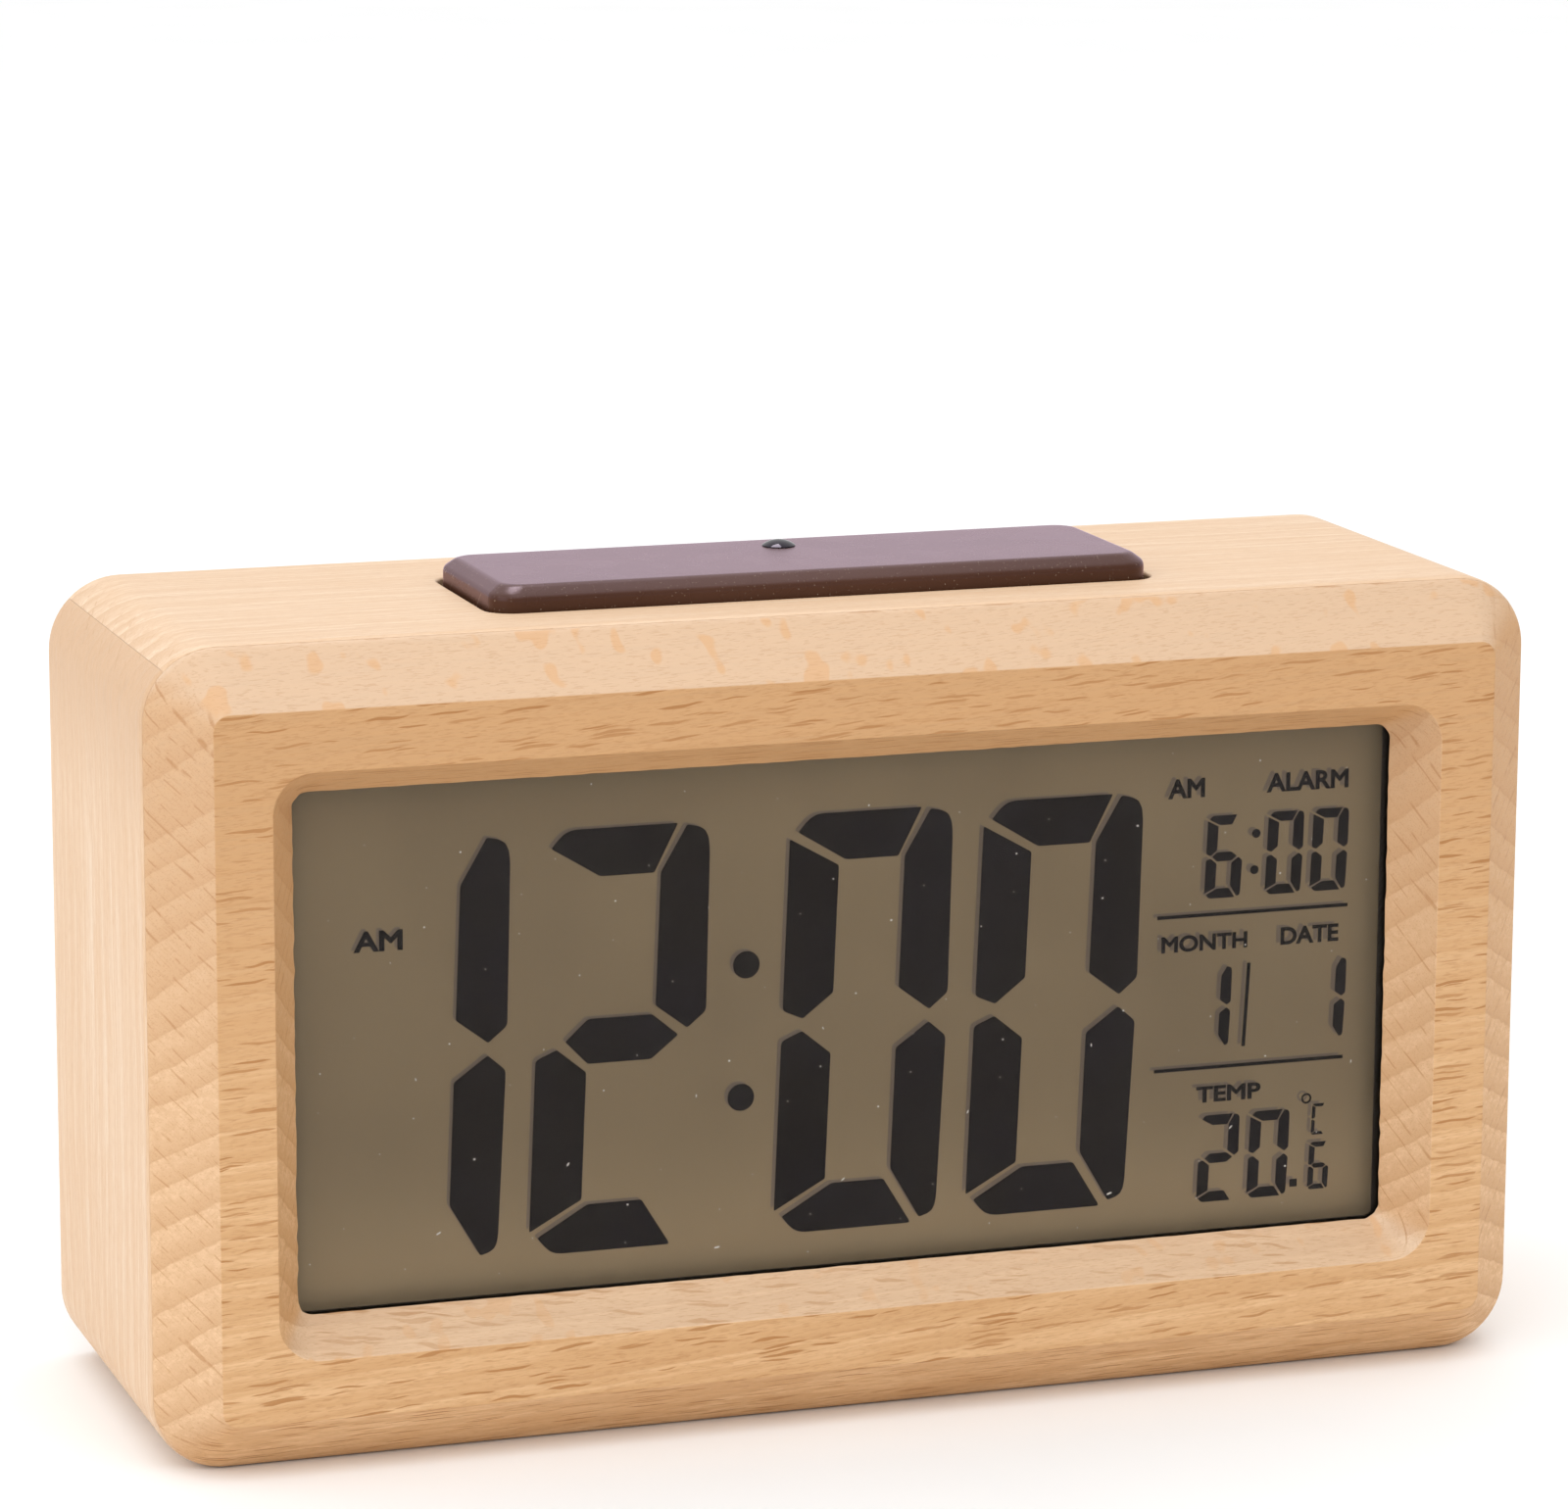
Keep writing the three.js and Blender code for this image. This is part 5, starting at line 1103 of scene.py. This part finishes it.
def figures(display):
    """All the dark marks of the display, as thin plates."""
    plates = []
    x = BIG_START
    for sign in display.time:
        if sign == ":":
            plates += [dot(x - 7.23, 44.8, 1.35), dot(x - 7.75, 31.67, 1.35)]
            x += COLON_GAP
            continue
        plates += figure(sign, x, BIG_LEVEL, BIG, display.slant)
        x += BIG_PITCH
    degrees, tenths = display.warmth.split(".")
    for written, places, level, size in (
        (display.alarm.replace(":", ""), (39.0, 45.47, 50.3), 52.18, SMALL),
        (display.month, (38.05,), 36.97, DATED),
        (display.date, (50.4,), 36.97, DATED),
        (degrees, (38.97, 44.37), 21.47, DEGREES),
        (tenths, (49.86,), 19.8, TENTHS),
        ("C", (49.78,), 24.6, UNIT),
    ):
        for sign, x in zip(written, places):
            plates += figure(sign, x, level, size, display.slant)
    plates += [
        dot(42.38, 54.29, 0.45),
        dot(42.25, 50.63, 0.45),
        rule(31.99, 46.4, 52.38, 46.4, 0.36),
        rule(31.91, 30.84, 52.23, 30.84, 0.36),
        rule(41.87, 41.21, 41.42, 32.74, 0.38),
        rule(46.75, 18.2, 47.55, 18.2, 0.8),
        ring(48.39, 26.81, 0.45, 0.2),
        word("AM", (-49.59, -44.76), (48.73, 50.75)),
        word("AM", (32.91, 36.82), (58.3, 60.26)),
        word("ALARM", (43.39, 52.19), (58.33, 60.25)),
        word("MONTH", (32.47, 41.65), (42.78, 44.47)),
        word("DATE", (45.21, 51.47), (42.77, 44.57)),
        word("TEMP", (36.48, 43.41), (27.26, 28.92)),
    ]
    return joined("display_figures", plates)


def shade(marks, film_front):
    """The marks' painted shadow: the same outlines, as thin plates just in front of the film behind
    them.
    """
    mesh = marks.data.copy()
    middle = at(CRYSTAL_DEPTH + CRYSTAL / 2) * MM
    for v in mesh.vertices:
        v.co.y = film_front * MM - (2 if v.co.y < middle else 1) * SHADE_GAP * MM
    return shown("display_painted_shadow", mesh)


def lint(front):
    """Specks of lint lying on the front film, spread evenly by one fixed step for each measure."""
    plates = []
    for k in range(1, LINT_COUNT + 1):
        u, v, size, turn = (k * step % 1.0 for step in (0.8191725, 0.6710436, 0.5497004, 0.4503))
        x = (u * 2 - 1) * (SIGHT_HALF[0] - 1)
        z = CASE_MIDDLE + (v * 2 - 1) * (SIGHT_HALF[1] - 1)
        radius = 0.045 + 0.055 * size ** 3
        long = radius * (3.5 if k % 9 == 0 else 1.2)
        c, s = math.cos(math.pi * turn), math.sin(math.pi * turn)
        oval = [(p[0] * long, p[1] * radius) for p in circle(1.0, 8)]
        outline = [(x + a * c - b * s, z + a * s + b * c) for a, b in oval]
        plates.append(prism("speck", outline, front - 0.012, front + 0.01, "y"))
    return joined("display_lint", plates)


class CLOCK_OT_display(bpy.types.Operator):
    """Builds the display: front film, glass, figures of liquid crystal and the film behind"""

    bl_idname = "clock.display"
    bl_label = "Display"

    def execute(self, context):
        display = context.scene.clock_display
        low, high = node_box("lcd_front_polariser")
        film_front = low.y
        film = sheet_piece("display_front_film", low, high)
        sheet = glass_sheet("clear_film", (0.97, 0.97, 0.965), 0.005, 1.21)
        dressed(film, sheet, "lcd_front_polariser")
        clear = glass_sheet("clear_glass", (0.99, 0.99, 0.99), 0.0, 1.02)
        finished_node("lcd_front_glass", clear, 0.1)
        low, high = node_box("lcd_rear_glass")
        behind = high.y - REAR_FILM
        rim_start = at(CRYSTAL_DEPTH + CRYSTAL + 0.02)
        rim = (low.x, rim_start, low.z), (high.x, behind, high.z)
        rear = sheet_piece("display_rear_glass", *rim)
        window = rounded_outline(0.0, CASE_MIDDLE, *(half + 0.5 for half in SIGHT_HALF), 0.5, 3)
        cut(rear, prism("window", window, at(6), at(9), "y"))
        dressed(rear, clear, "lcd_rear_glass")
        back = sheet_piece("display_rear_film", (low.x, behind, low.z), high)
        dressed(back, display_film("grey_brown_film", display.film), body="case")
        marks = figures(display)
        # Painted shadow: a darker, bluer copy of the film on plates under the marks.
        shaded_film = display_film("shaded_film", scaled(display.film, PAINTED_SHADOW_TINT))
        dressed(shade(marks, behind), shaded_film, body="case")
        dressed(marks, liquid_crystal(display.figure), body="case")
        dressed(lint(film_front), lint_fibre(), body="case")
        # The marks cast no real shadow; their painted shadow stands in for it.
        marks.visible_shadow = False
        marks.visible_diffuse = False
        return {"FINISHED"}


def sheet_piece(name, low, high):
    """A thin sheet with slightly eased edges."""
    x, y, z = zip(low, high)
    half = (x[1] - x[0]) / 2, (z[1] - z[0]) / 2
    return prism(name, rounded_outline(sum(x) / 2, sum(z) / 2, *half, 0.3, 3), *y, "y")


# Snooze bar


LENS_SETBACK = 29.3
BAR_WALL = 1.8


def snooze_bar(bar):
    low, high = node_box("snooze_bar")
    edge = bar.edge / MM
    inset, drop = BAR_CHAMFER
    flat = BAR_CORNER - inset * 0.7

    def outline(half_x, half_y, radius, steps=10):
        return rounded_outline(0.0, SLOT_MIDDLE, half_x, half_y, radius, steps)

    def section(inward, radius, level, rounding):
        return Vector((BAR_HALF - inward, BAR_REACH - inward, radius, level)), rounding

    corners = [
        section(0, BAR_CORNER, low.z, 0),
        section(0, BAR_CORNER, high.z - drop, edge),
        section(inset, flat, high.z, edge),
        section(4, flat, high.z, 0),
    ]
    rings = []
    for *size, level in eased(corners, steps=4):
        rings.append([(u, v, level) for u, v in outline(*size)])
    piece = loft("snooze_bar_cap", rings)
    underside = high.z - BAR_WALL
    inner = outline(BAR_HALF - BAR_WALL, BAR_REACH - BAR_WALL, 0.7, 6)
    hollow = prism("hollow", inner, low.z - 1, underside, "z")
    drilled = circle(1.3, 32, 0.0, at(LENS_SETBACK))
    cut(piece, hollow, prism("hole", drilled, underside - 1, high.z + 1, "z"))
    lips, posts = [], []
    for s in (-1, 1):
        x = sorted((s * (BAR_HALF - 0.9), s * (BAR_HALF + 1.6)))
        depth = widened((low.y - FRONT, high.y - FRONT), -2.2)
        lips.append(block("lip", x, depth, (low.z, CASE_HEIGHT - BOARD - 0.3)))
        end = circle(1.7, 24, s * (BAR_HALF - 7.4), SLOT_MIDDLE)
        posts.append(prism("post", end, underside - 4, underside + 0.5, "z"))
    pusher = prism("pusher", circle(2.0, 32, 0.0, at(22.0)), 70.6, underside + 0.5, "z")
    return merged(piece, *lips, *posts, pusher)


def bar_spring(node):
    """A return spring of round wire, wound about an upright axis inside the node's box."""
    low, high = node_box(node)
    x, y = node_middle(node)[:2]
    wire, curls, steps = 0.35, 6, 28
    radius = (high.x - low.x) / 2 - wire
    climb = high.z - low.z - 2 * wire
    rise = climb / (curls * 2 * math.pi)
    rings = []
    for k in range(curls * steps + 1):
        turn = 2 * math.pi * k / steps
        out = Vector((math.cos(turn), math.sin(turn), 0))
        run = Vector((-math.sin(turn) * radius, math.cos(turn) * radius, rise)).normalized()
        place = Vector((x, y, low.z + wire + climb * k / (curls * steps))) + out * radius
        side = out.cross(run)
        turns = [2 * math.pi * j / 10 for j in range(10)]
        rings.append([place + (out * math.cos(a) + side * math.sin(a)) * wire for a in turns])
    return loft(node + "_wire", rings)


def sensor_dome():
    """The low dome over the light sensor, on its neck through the bar."""
    low, high = node_box("sensor_lens")
    rim = node_box("snooze_bar")[1].z
    neck, radius, wall = 1.0, 1.65, 0.12
    height = high.z - rim
    ball = (radius**2 + height**2) / (2 * height)
    half = math.asin(radius / ball)
    profile = [(neck, low.z), (neck, rim - 0.02), (radius, rim - 0.02), (radius, rim + wall)]
    top = rim + wall + height
    for step in range(1, 13):
        turn = half * (1 - step / 12.5)
        profile.append((ball * math.sin(turn), top - ball * (1 - math.cos(turn))))
    return turned("sensor_dome", profile, "z", 0.0, at(LENS_SETBACK), 64)


class CLOCK_OT_snooze_bar(bpy.types.Operator):
    """Builds the snooze bar, the dome over its light sensor and its two return springs"""

    bl_idname = "clock.snooze_bar"
    bl_label = "Snooze bar"

    def execute(self, context):
        bar = context.scene.clock_bar
        looks = {"grain": 4.0, "relief": 0.004, "dust": 0.2, "sheen": (0.86, 0.7, 0.83)}
        plastic = moulded("bar_plastic", bar.plastic, bar.roughness, **looks)
        dressed(snooze_bar(bar), plastic, "snooze_bar", crease=50)
        lens = smoked_lens("smoked_dome", bar.dome)
        dressed(sensor_dome(), lens, "sensor_lens", crease=50)
        steel = plated_steel("spring_wire", context.scene.clock_back.steel)
        for node in ("bar_spring_left", "bar_spring_right"):
            spring = dressed(bar_spring(node), steel, node)
            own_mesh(spring)
        return {"FINISHED"}


# Back


BAY_X = (-52.0, -2.7)
BAY_Z = (11.65, 45.35)
BAY_MIDDLE = sum(BAY_X) / 2
BAY_FLOOR = 30.4
BAY_WALL = 2.0
COVER_INNER = 43.0
COVER_OUTER = 45.0
# Holes are cut from before the cover's inner face to behind its outer one.
DRILL = (42.0, 47.0)
DOOR_GAP = 0.3
DOOR_EDGE = 0.7
LEDGE = 1.0
KEYS = {"set": 16.025, "up": 28.025, "down": 40.025}
KEY_LEVEL = 50.5
KEY_HOLE = 3.3
SLIDE_X = (14.6, 19.4)
SLIDE_LEVEL = 37.5
SOUND = (34.025, 27.5)
SOUND_RING = 3.4
SOUND_HOLE = 0.8
VENT = (14.525, 24.5)
VENT_PITCH = 2.4
GRIP_PITCH = 1.5
TAB_HALF = 3.5
TAB_INSET = 9.0
TABS = (BAY_X[0] - DOOR_EDGE + TAB_INSET, BAY_X[1] + DOOR_EDGE - TAB_INSET)
SILVER_BAND = 12.0


def hole(x, z, radius, depth=DRILL, sides=32):
    return prism("hole", circle(radius, sides, x, z), at(depth[0]), at(depth[1]), "y")


def slit(name, x, z, half_x, half_z, radius, start=DRILL[0]):
    """A narrow slot with round ends, from a depth to behind the cover."""
    outline = rounded_outline(x, z, half_x, half_z, radius, 5)
    return prism(name, outline, at(start), at(DRILL[1]), "y")


def outer_edges_softened(piece, back):
    """Rounds the edges of a moulding's outer face."""
    return softened(piece, back.edge / MM, 2, 50, lambda middle: middle.y > at(COVER_OUTER - 0.1))


def screw_places():
    """X and Z of each cover screw."""
    return [node_middle(f"cover_screw_{i}")[::2] for i in range(1, 5)]


def rear_cover(back):
    low, high = node_box("rear_cover")
    cover = (COVER_INNER, COVER_OUTER)
    plate_block = block("rear_cover_moulding", (low.x, high.x), cover, (low.z, high.z))
    depth = (BAY_FLOOR - BAY_WALL, COVER_INNER + 0.5)
    shell = block("shell", widened(BAY_X, BAY_WALL), depth, widened(BAY_Z, BAY_WALL))
    piece = merged(plate_block, shell)
    bay = block("bay", BAY_X, (BAY_FLOOR, DRILL[1]), BAY_Z)
    step = (COVER_INNER, DRILL[1])
    doorway = block("doorway", widened(BAY_X, LEDGE), step, widened(BAY_Z, LEDGE))
    under = (BAY_Z[0] - 3.0, BAY_Z[0] + 1)
    notch = (40.8, COVER_INNER)
    notches = [block("notch", about(x, TAB_HALF + 0.3), notch, under) for x in TABS]
    above = (BAY_Z[1], BAY_Z[1] + 2.1)
    nose = block("nose", about(BAY_MIDDLE, 6), (COVER_INNER + 1, DRILL[1]), above)
    cut(piece, bay, doorway, *notches, nose)
    screws = screw_places()
    holes = [hole(x, z, 1.3) for x, z in screws]
    holes += [hole(x, KEY_LEVEL, KEY_HOLE, sides=48) for x in KEYS.values()]
    holes += [hole(*SOUND, SOUND_HOLE)]
    for turn in (k * math.pi / 3 for k in range(6)):
        x, z = SOUND_RING * math.cos(turn), SOUND_RING * math.sin(turn)
        holes.append(hole(SOUND[0] + x, SOUND[1] + z, SOUND_HOLE))
    holes += [block("slide", SLIDE_X, DRILL, about(SLIDE_LEVEL, 1.4))]
    levels = [VENT[1] + (k - 1.5) * VENT_PITCH for k in range(4)]
    holes += [slit("vent", VENT[0], z, 4.0, 0.55, 0.5) for z in levels]
    cut(piece, joined("holes", holes))
    sinks = [hole(x, z, 2.3, (COVER_OUTER - 1, DRILL[1])) for x, z in screws]
    cut(piece, joined("sinks", sinks))
    middles = {x for x, z in screws} | set(KEYS.values()) | {BAY_MIDDLE}
    middles |= {SOUND[0] + SOUND_RING * share for share in (-1.0, -0.5, 0.0, 0.5, 1.0)}
    return outer_edges_softened(parted(piece, sorted(middles)), back)


def cross_screw(node, x, z):
    """A cover screw with a domed head and a cross recess."""
    low, high = node_box(node)
    head = high.y
    shank, reach = 1.0, 2.0
    profile = [
        (0.15, low.y), (shank, low.y + 1.0), (shank, head - 1.2), (reach, head - 1.2),
        (reach, head - 0.6), (1.85, head - 0.35), (1.5, head - 0.12), (1.0, head),
    ]
    screw = turned(node + "_cross", profile, "y", x, z, 40)
    depth = (head - FRONT - 0.75, head - FRONT + 0.5)
    arm, thick = 1.05, 0.28
    arms = [block("arm", about(x, arm), depth, about(z, thick))]
    arms += [block("arm", about(x, thick), depth, about(z, arm))]
    return cut(screw, *arms)


class CLOCK_OT_rear_cover(bpy.types.Operator):
    """Builds the rear cover with its battery bay, holes and vents, and its four screws"""

    bl_idname = "clock.rear_cover"
    bl_label = "Rear cover"

    def execute(self, context):
        back = context.scene.clock_back
        plastic = moulded("cover_plastic", back.cover, 0.46, 0.35, 0.03)
        dressed(rear_cover(back), plastic, "rear_cover")
        steel = plated_steel("nickel_plate", back.steel)
        for i, (x, z) in enumerate(screw_places()):
            node = f"cover_screw_{i + 1}"
            dressed(cross_screw(node, x, z), steel, node, crease=40)
        return {"FINISHED"}


def battery_door(back):
    inner = COVER_INNER + DOOR_GAP
    bottom, top = widened(BAY_Z, DOOR_EDGE)
    door = (inner, COVER_OUTER)
    piece = block("battery_door_moulding", widened(BAY_X, DOOR_EDGE), door, (bottom, top))
    thin = (COVER_INNER + 1.3, COVER_OUTER)
    nose = block("nose", about(BAY_MIDDLE, 4), thin, (top - 0.5, top + 1.1))
    tabs = []
    for x in TABS:
        tabs.append(block("tab", about(x, TAB_HALF), (41.4, 42.7), (bottom - 2, BAY_Z[0])))
        tabs.append(block("web", about(x, TAB_HALF), (41.4, inner + 0.5), (bottom, BAY_Z[0])))
    merged(piece, nose, *tabs)
    levels = [top - 3.0 - GRIP_PITCH * k for k in range(6)]
    start = COVER_OUTER - 0.45
    grooves = [slit("groove", BAY_MIDDLE, z, 9.0, 0.38, 0.36, start) for z in levels]
    cut(piece, joined("grooves", grooves))
    return outer_edges_softened(piece, back)


def battery_cell(node, side):
    """A cell with its button on the given side of X, and the X where the button ends."""
    low, high = node_box(node)
    start, end = (low.x, high.x) if side > 0 else (high.x, low.x)
    shoulder = end - side
    can, neck, button = 5.25, 4.3, 1.88
    profile = [
        (neck, start), (4.75, start + side * 0.1), (5.1, start + side * 0.35),
        (can, start + side * 0.8), (can, shoulder - side * 0.8), (5.12, shoulder - side * 0.35),
        (4.8, shoulder), (neck, shoulder), (4.1, shoulder - side * 0.25),
        (2.1, shoulder - side * 0.25), (1.9, shoulder - side * 0.1),
        (button, end - side * 0.25), (1.6, end),
    ]
    return turned(node + "_sleeved", profile, "x", *node_middle(node)[1:], 64), end


class CLOCK_OT_battery_door(bpy.types.Operator):
    """Builds the battery door with its grip grooves, and the three cells behind it"""

    bl_idname = "clock.battery_door"
    bl_label = "Battery door and cells"

    def execute(self, context):
        back = context.scene.clock_back
        plastic = moulded("door_plastic", back.cover, 0.46, 0.35, 0.03)
        dressed(battery_door(back), plastic, "battery_door")
        for i, side in enumerate((1, -1, 1)):
            node = f"battery_cell_{i + 1}"
            cell, end = battery_cell(node, side)
            sleeve = cell_sleeve(f"cell_label_{i + 1}", back.sleeve, end - side * SILVER_BAND, end)
            dressed(cell, sleeve, node, crease=40)
        return {"FINISHED"}


def push_key(node):
    """A round key with a flange inside the cover and a hollowed top."""
    x, z = node_middle(node)[::2]
    base, top = (corner.y for corner in node_box(node))
    flange, stem, easing = 4.0, 3.0, 0.45
    profile = [(flange, base), (flange, base + 1.2), (stem, base + 1.2), (stem, top - 0.55)]
    for turn in (math.pi / 2 * step / 4 for step in range(5)):
        out = stem - easing + easing * math.cos(turn)
        profile.append((out, top - easing + easing * math.sin(turn)))
    profile += [(2.2, top - 0.05), (1.6, top - 0.17), (0.9, top - 0.26), (0.3, top - 0.3)]
    return turned(node + "_cap", profile, "y", x, z, 64)


def slide_knob():
    """The alarm slide's knob, with three saw teeth across its top."""
    low, high = node_box("alarm_switch_knob")
    margin, teeth = 0.12, 3
    pitch = (high.x - low.x - 2 * margin) / teeth
    outline = [(low.x, low.y), (high.x, low.y), (high.x, high.y - 0.15)]
    for k in range(teeth):
        right = high.x - margin - k * pitch
        left = right - pitch
        outline += [(right - 0.08, high.y), (left + 0.2, high.y), (left + 0.1, high.y - 0.4)]
    outline[-1] = (low.x, high.y - 0.15)
    return prism("alarm_slide_knob", outline, low.z, high.z, "z")


class CLOCK_OT_keys(bpy.types.Operator):
    """Builds the three push keys and the knob of the alarm slide"""

    bl_idname = "clock.keys"
    bl_label = "Keys and slide"

    def execute(self, context):
        back = context.scene.clock_back
        plastic = moulded("key_plastic", back.keys, 0.38, 0.3, 0.012)
        for name in KEYS:
            node = name + "_key"
            dressed(push_key(node), plastic, node, crease=50)
        dressed(slide_knob(), plastic, "alarm_switch_knob", crease=30)
        return {"FINISHED"}


class CLOCK_OT_inside(bpy.types.Operator):
    """Finishes the pieces inside the case that keep the frame's shapes"""

    bl_idname = "clock.inside"
    bl_label = "Pieces inside"

    def execute(self, context):
        back = context.scene.clock_back
        white = moulded("white_moulding", (0.78, 0.77, 0.73), 0.42, 0.3, 0.01)
        black = moulded("black_moulding", (0.02, 0.02, 0.021), 0.45, 0.3, 0.012)
        grey = moulded("grey_moulding", (0.25, 0.25, 0.27), 0.45, 0.3, 0.01)
        wire = moulded("wire_sleeve", (0.012, 0.012, 0.012), 0.5, 0.5, 0.02)
        steel = plated_steel("nickel_strip", back.steel)
        switches = ["snooze", *KEYS]
        screws = [f"frame_screw_{i}" for i in range(1, 5)]
        screws += ["carrier_screw_left", "carrier_screw_right"]
        contacts = ["contact_plus", "contact_minus", "bridge_left", "bridge_right"]
        for finish, edge, nodes in (
            (white, 0.15, ["lcd_frame", "backlight_led_board"]),
            (black, 0.12, ["bar_carrier", "buzzer"]),
            (black, 0.12, [name + "_switch_body" for name in switches]),
            (grey, 0.12, [name + "_switch_plunger" for name in switches]),
            (wire, 0.0, ["battery_lead"]),
            (steel, 0.05, ["quartz_crystal", "alarm_switch_body", *screws]),
            (steel, 0.05, ["battery_" + name for name in contacts]),
            (circuit_board("green_board"), 0.1, ["main_pcb", "switch_board", "key_board"]),
            (potting_resin("potting"), 0.0, ["chip_potting", "temperature_sensor"]),
            (flat_cable("flat_cable"), 0.0, ["switch_ribbon", "display_ribbon"]),
            (layered_rubber("zebra_layers"), 0.15, ["zebra_strip"]),
            (acrylic("clear_guide"), 0.15, ["light_guide"]),
            (smoked_lens("sensor_resin", (0.01, 0.01, 0.014)), 0.0, ["light_sensor"]),
        ):
            for node in nodes:
                finished_node(node, finish, edge)
        return {"FINISHED"}


# Stage


CAMERA_TARGET = Vector((-0.009307, -0.02315, 0.066743))


def lamp(name, size, power, place, target):
    light = bpy.data.lights.new(name, "AREA")
    light.shape = "SQUARE"
    light.size = size
    light.energy = power
    holder = shown(name, light)
    aim = (Vector(place) - Vector(target)).to_track_quat("Z", "Y").to_matrix().to_4x4()
    holder.matrix_world = Matrix.Translation(place) @ aim
    return holder


def studio_floor(stage):
    floor = prism("studio_floor", circle(4000.0, 96), -20.0, -0.02, "z")
    r = Finish("pale_floor")
    tone = r.clouded(r.pattern(0.02, 3.0), stage.floor, scaled(stage.floor, 0.985))
    floor.data.materials.append(r.done(r.surface(tone, 0.7, Specular_IOR_Level=0.1)))
    return floor


def surroundings(stage):
    """The studio's glow, set for the sides before and behind the clock and for overhead."""
    r = Recipe(bpy.data.worlds.new("studio"))
    direction = r.node("TexCoord").outputs["Generated"]
    depth, height = (r.along(direction, axis) for axis in ((0, 1, 0), (0, 0, 1)))
    level = r.between(depth, -0.8, 0.5, stage.front_glow, stage.back_glow)
    strength = r.times(level, r.between(height, 0.1, 0.9, 1.0, stage.overhead))
    glow = r.node("Background", {"Strength": strength})
    r.node("OutputWorld", {"Surface": glow.outputs[0]})
    return r.owner


def camera(stage):
    data = bpy.data.cameras.new("camera")
    data.lens = stage.lens
    data.sensor_width = 36.0
    data.clip_start, data.clip_end = 0.01, 100.0
    a, e, turn = stage.azimuth, stage.elevation, stage.roll
    back = Vector((math.sin(a) * math.cos(e), -math.cos(a) * math.cos(e), math.sin(e)))
    right = Vector((0, 0, 1)).cross(back).normalized()
    up = back.cross(right)
    across = right * math.cos(turn) + up * math.sin(turn)
    upward = up * math.cos(turn) - right * math.sin(turn)
    rotation = Matrix((across, upward, back)).transposed().to_4x4()
    holder = shown("camera", data)
    holder.matrix_world = Matrix.Translation(CAMERA_TARGET + back * stage.distance) @ rotation
    return holder


class CLOCK_OT_stage(bpy.types.Operator):
    """Sets up the floor, soft studio light and camera"""

    bl_idname = "clock.stage"
    bl_label = "Stage"

    def execute(self, context):
        stage = context.scene.clock_stage
        studio_floor(stage)
        context.scene.world = surroundings(stage)
        lamp("top_lamp", 0.9, stage.top_light, (-0.1, -0.55, 0.85), (0.0, 0.0, 0.04))
        lamp("side_lamp", 0.8, stage.side_light, (-0.95, -0.35, 0.45), (0.0, 0.0, 0.04))
        glint = lamp("glint_lamp", 0.34, stage.glint, (-0.02, 0.25, 0.95), (0.0, 0.0, 0.08))
        glint.visible_diffuse = False
        context.scene.camera = camera(stage)
        context.scene.view_settings.view_transform = "Standard"
        context.scene.view_settings.look = "None"
        return {"FINISHED"}


OPERATORS = (
    CLOCK_OT_front_board,
    CLOCK_OT_case_boards,
    CLOCK_OT_display,
    CLOCK_OT_snooze_bar,
    CLOCK_OT_rear_cover,
    CLOCK_OT_battery_door,
    CLOCK_OT_keys,
    CLOCK_OT_inside,
    CLOCK_OT_stage,
)
SETTINGS = {
    "clock_case": ClockCase,
    "clock_display": ClockDisplay,
    "clock_bar": ClockBar,
    "clock_back": ClockBack,
    "clock_stage": ClockStage,
}


class CLOCK_PT_clock(bpy.types.Panel):
    """The clock's pieces and their settings"""

    bl_label = "Wooden Alarm Clock"
    bl_space_type = "VIEW_3D"
    bl_region_type = "UI"
    bl_category = "Clock"

    def draw(self, context):
        for operator in OPERATORS:
            self.layout.operator(operator.bl_idname)
        for name, group in SETTINGS.items():
            box = self.layout.box()
            for setting in group.__annotations__:
                box.prop(getattr(context.scene, name), setting)


def register():
    for name, group in SETTINGS.items():
        bpy.utils.register_class(group)
        setattr(bpy.types.Scene, name, PointerProperty(type=group))
    for made in (*OPERATORS, CLOCK_PT_clock):
        bpy.utils.register_class(made)


def unregister():
    for made in (CLOCK_PT_clock, *reversed(OPERATORS)):
        bpy.utils.unregister_class(made)
    for name, group in SETTINGS.items():
        delattr(bpy.types.Scene, name)
        bpy.utils.unregister_class(group)


def main():
    register()
    bpy.ops.clock.front_board()
    bpy.ops.clock.case_boards()
    bpy.ops.clock.display()
    bpy.ops.clock.snooze_bar()
    bpy.ops.clock.rear_cover()
    bpy.ops.clock.battery_door()
    bpy.ops.clock.keys()
    bpy.ops.clock.inside()
    bpy.ops.clock.stage()


if __name__ == "__main__":
    main()
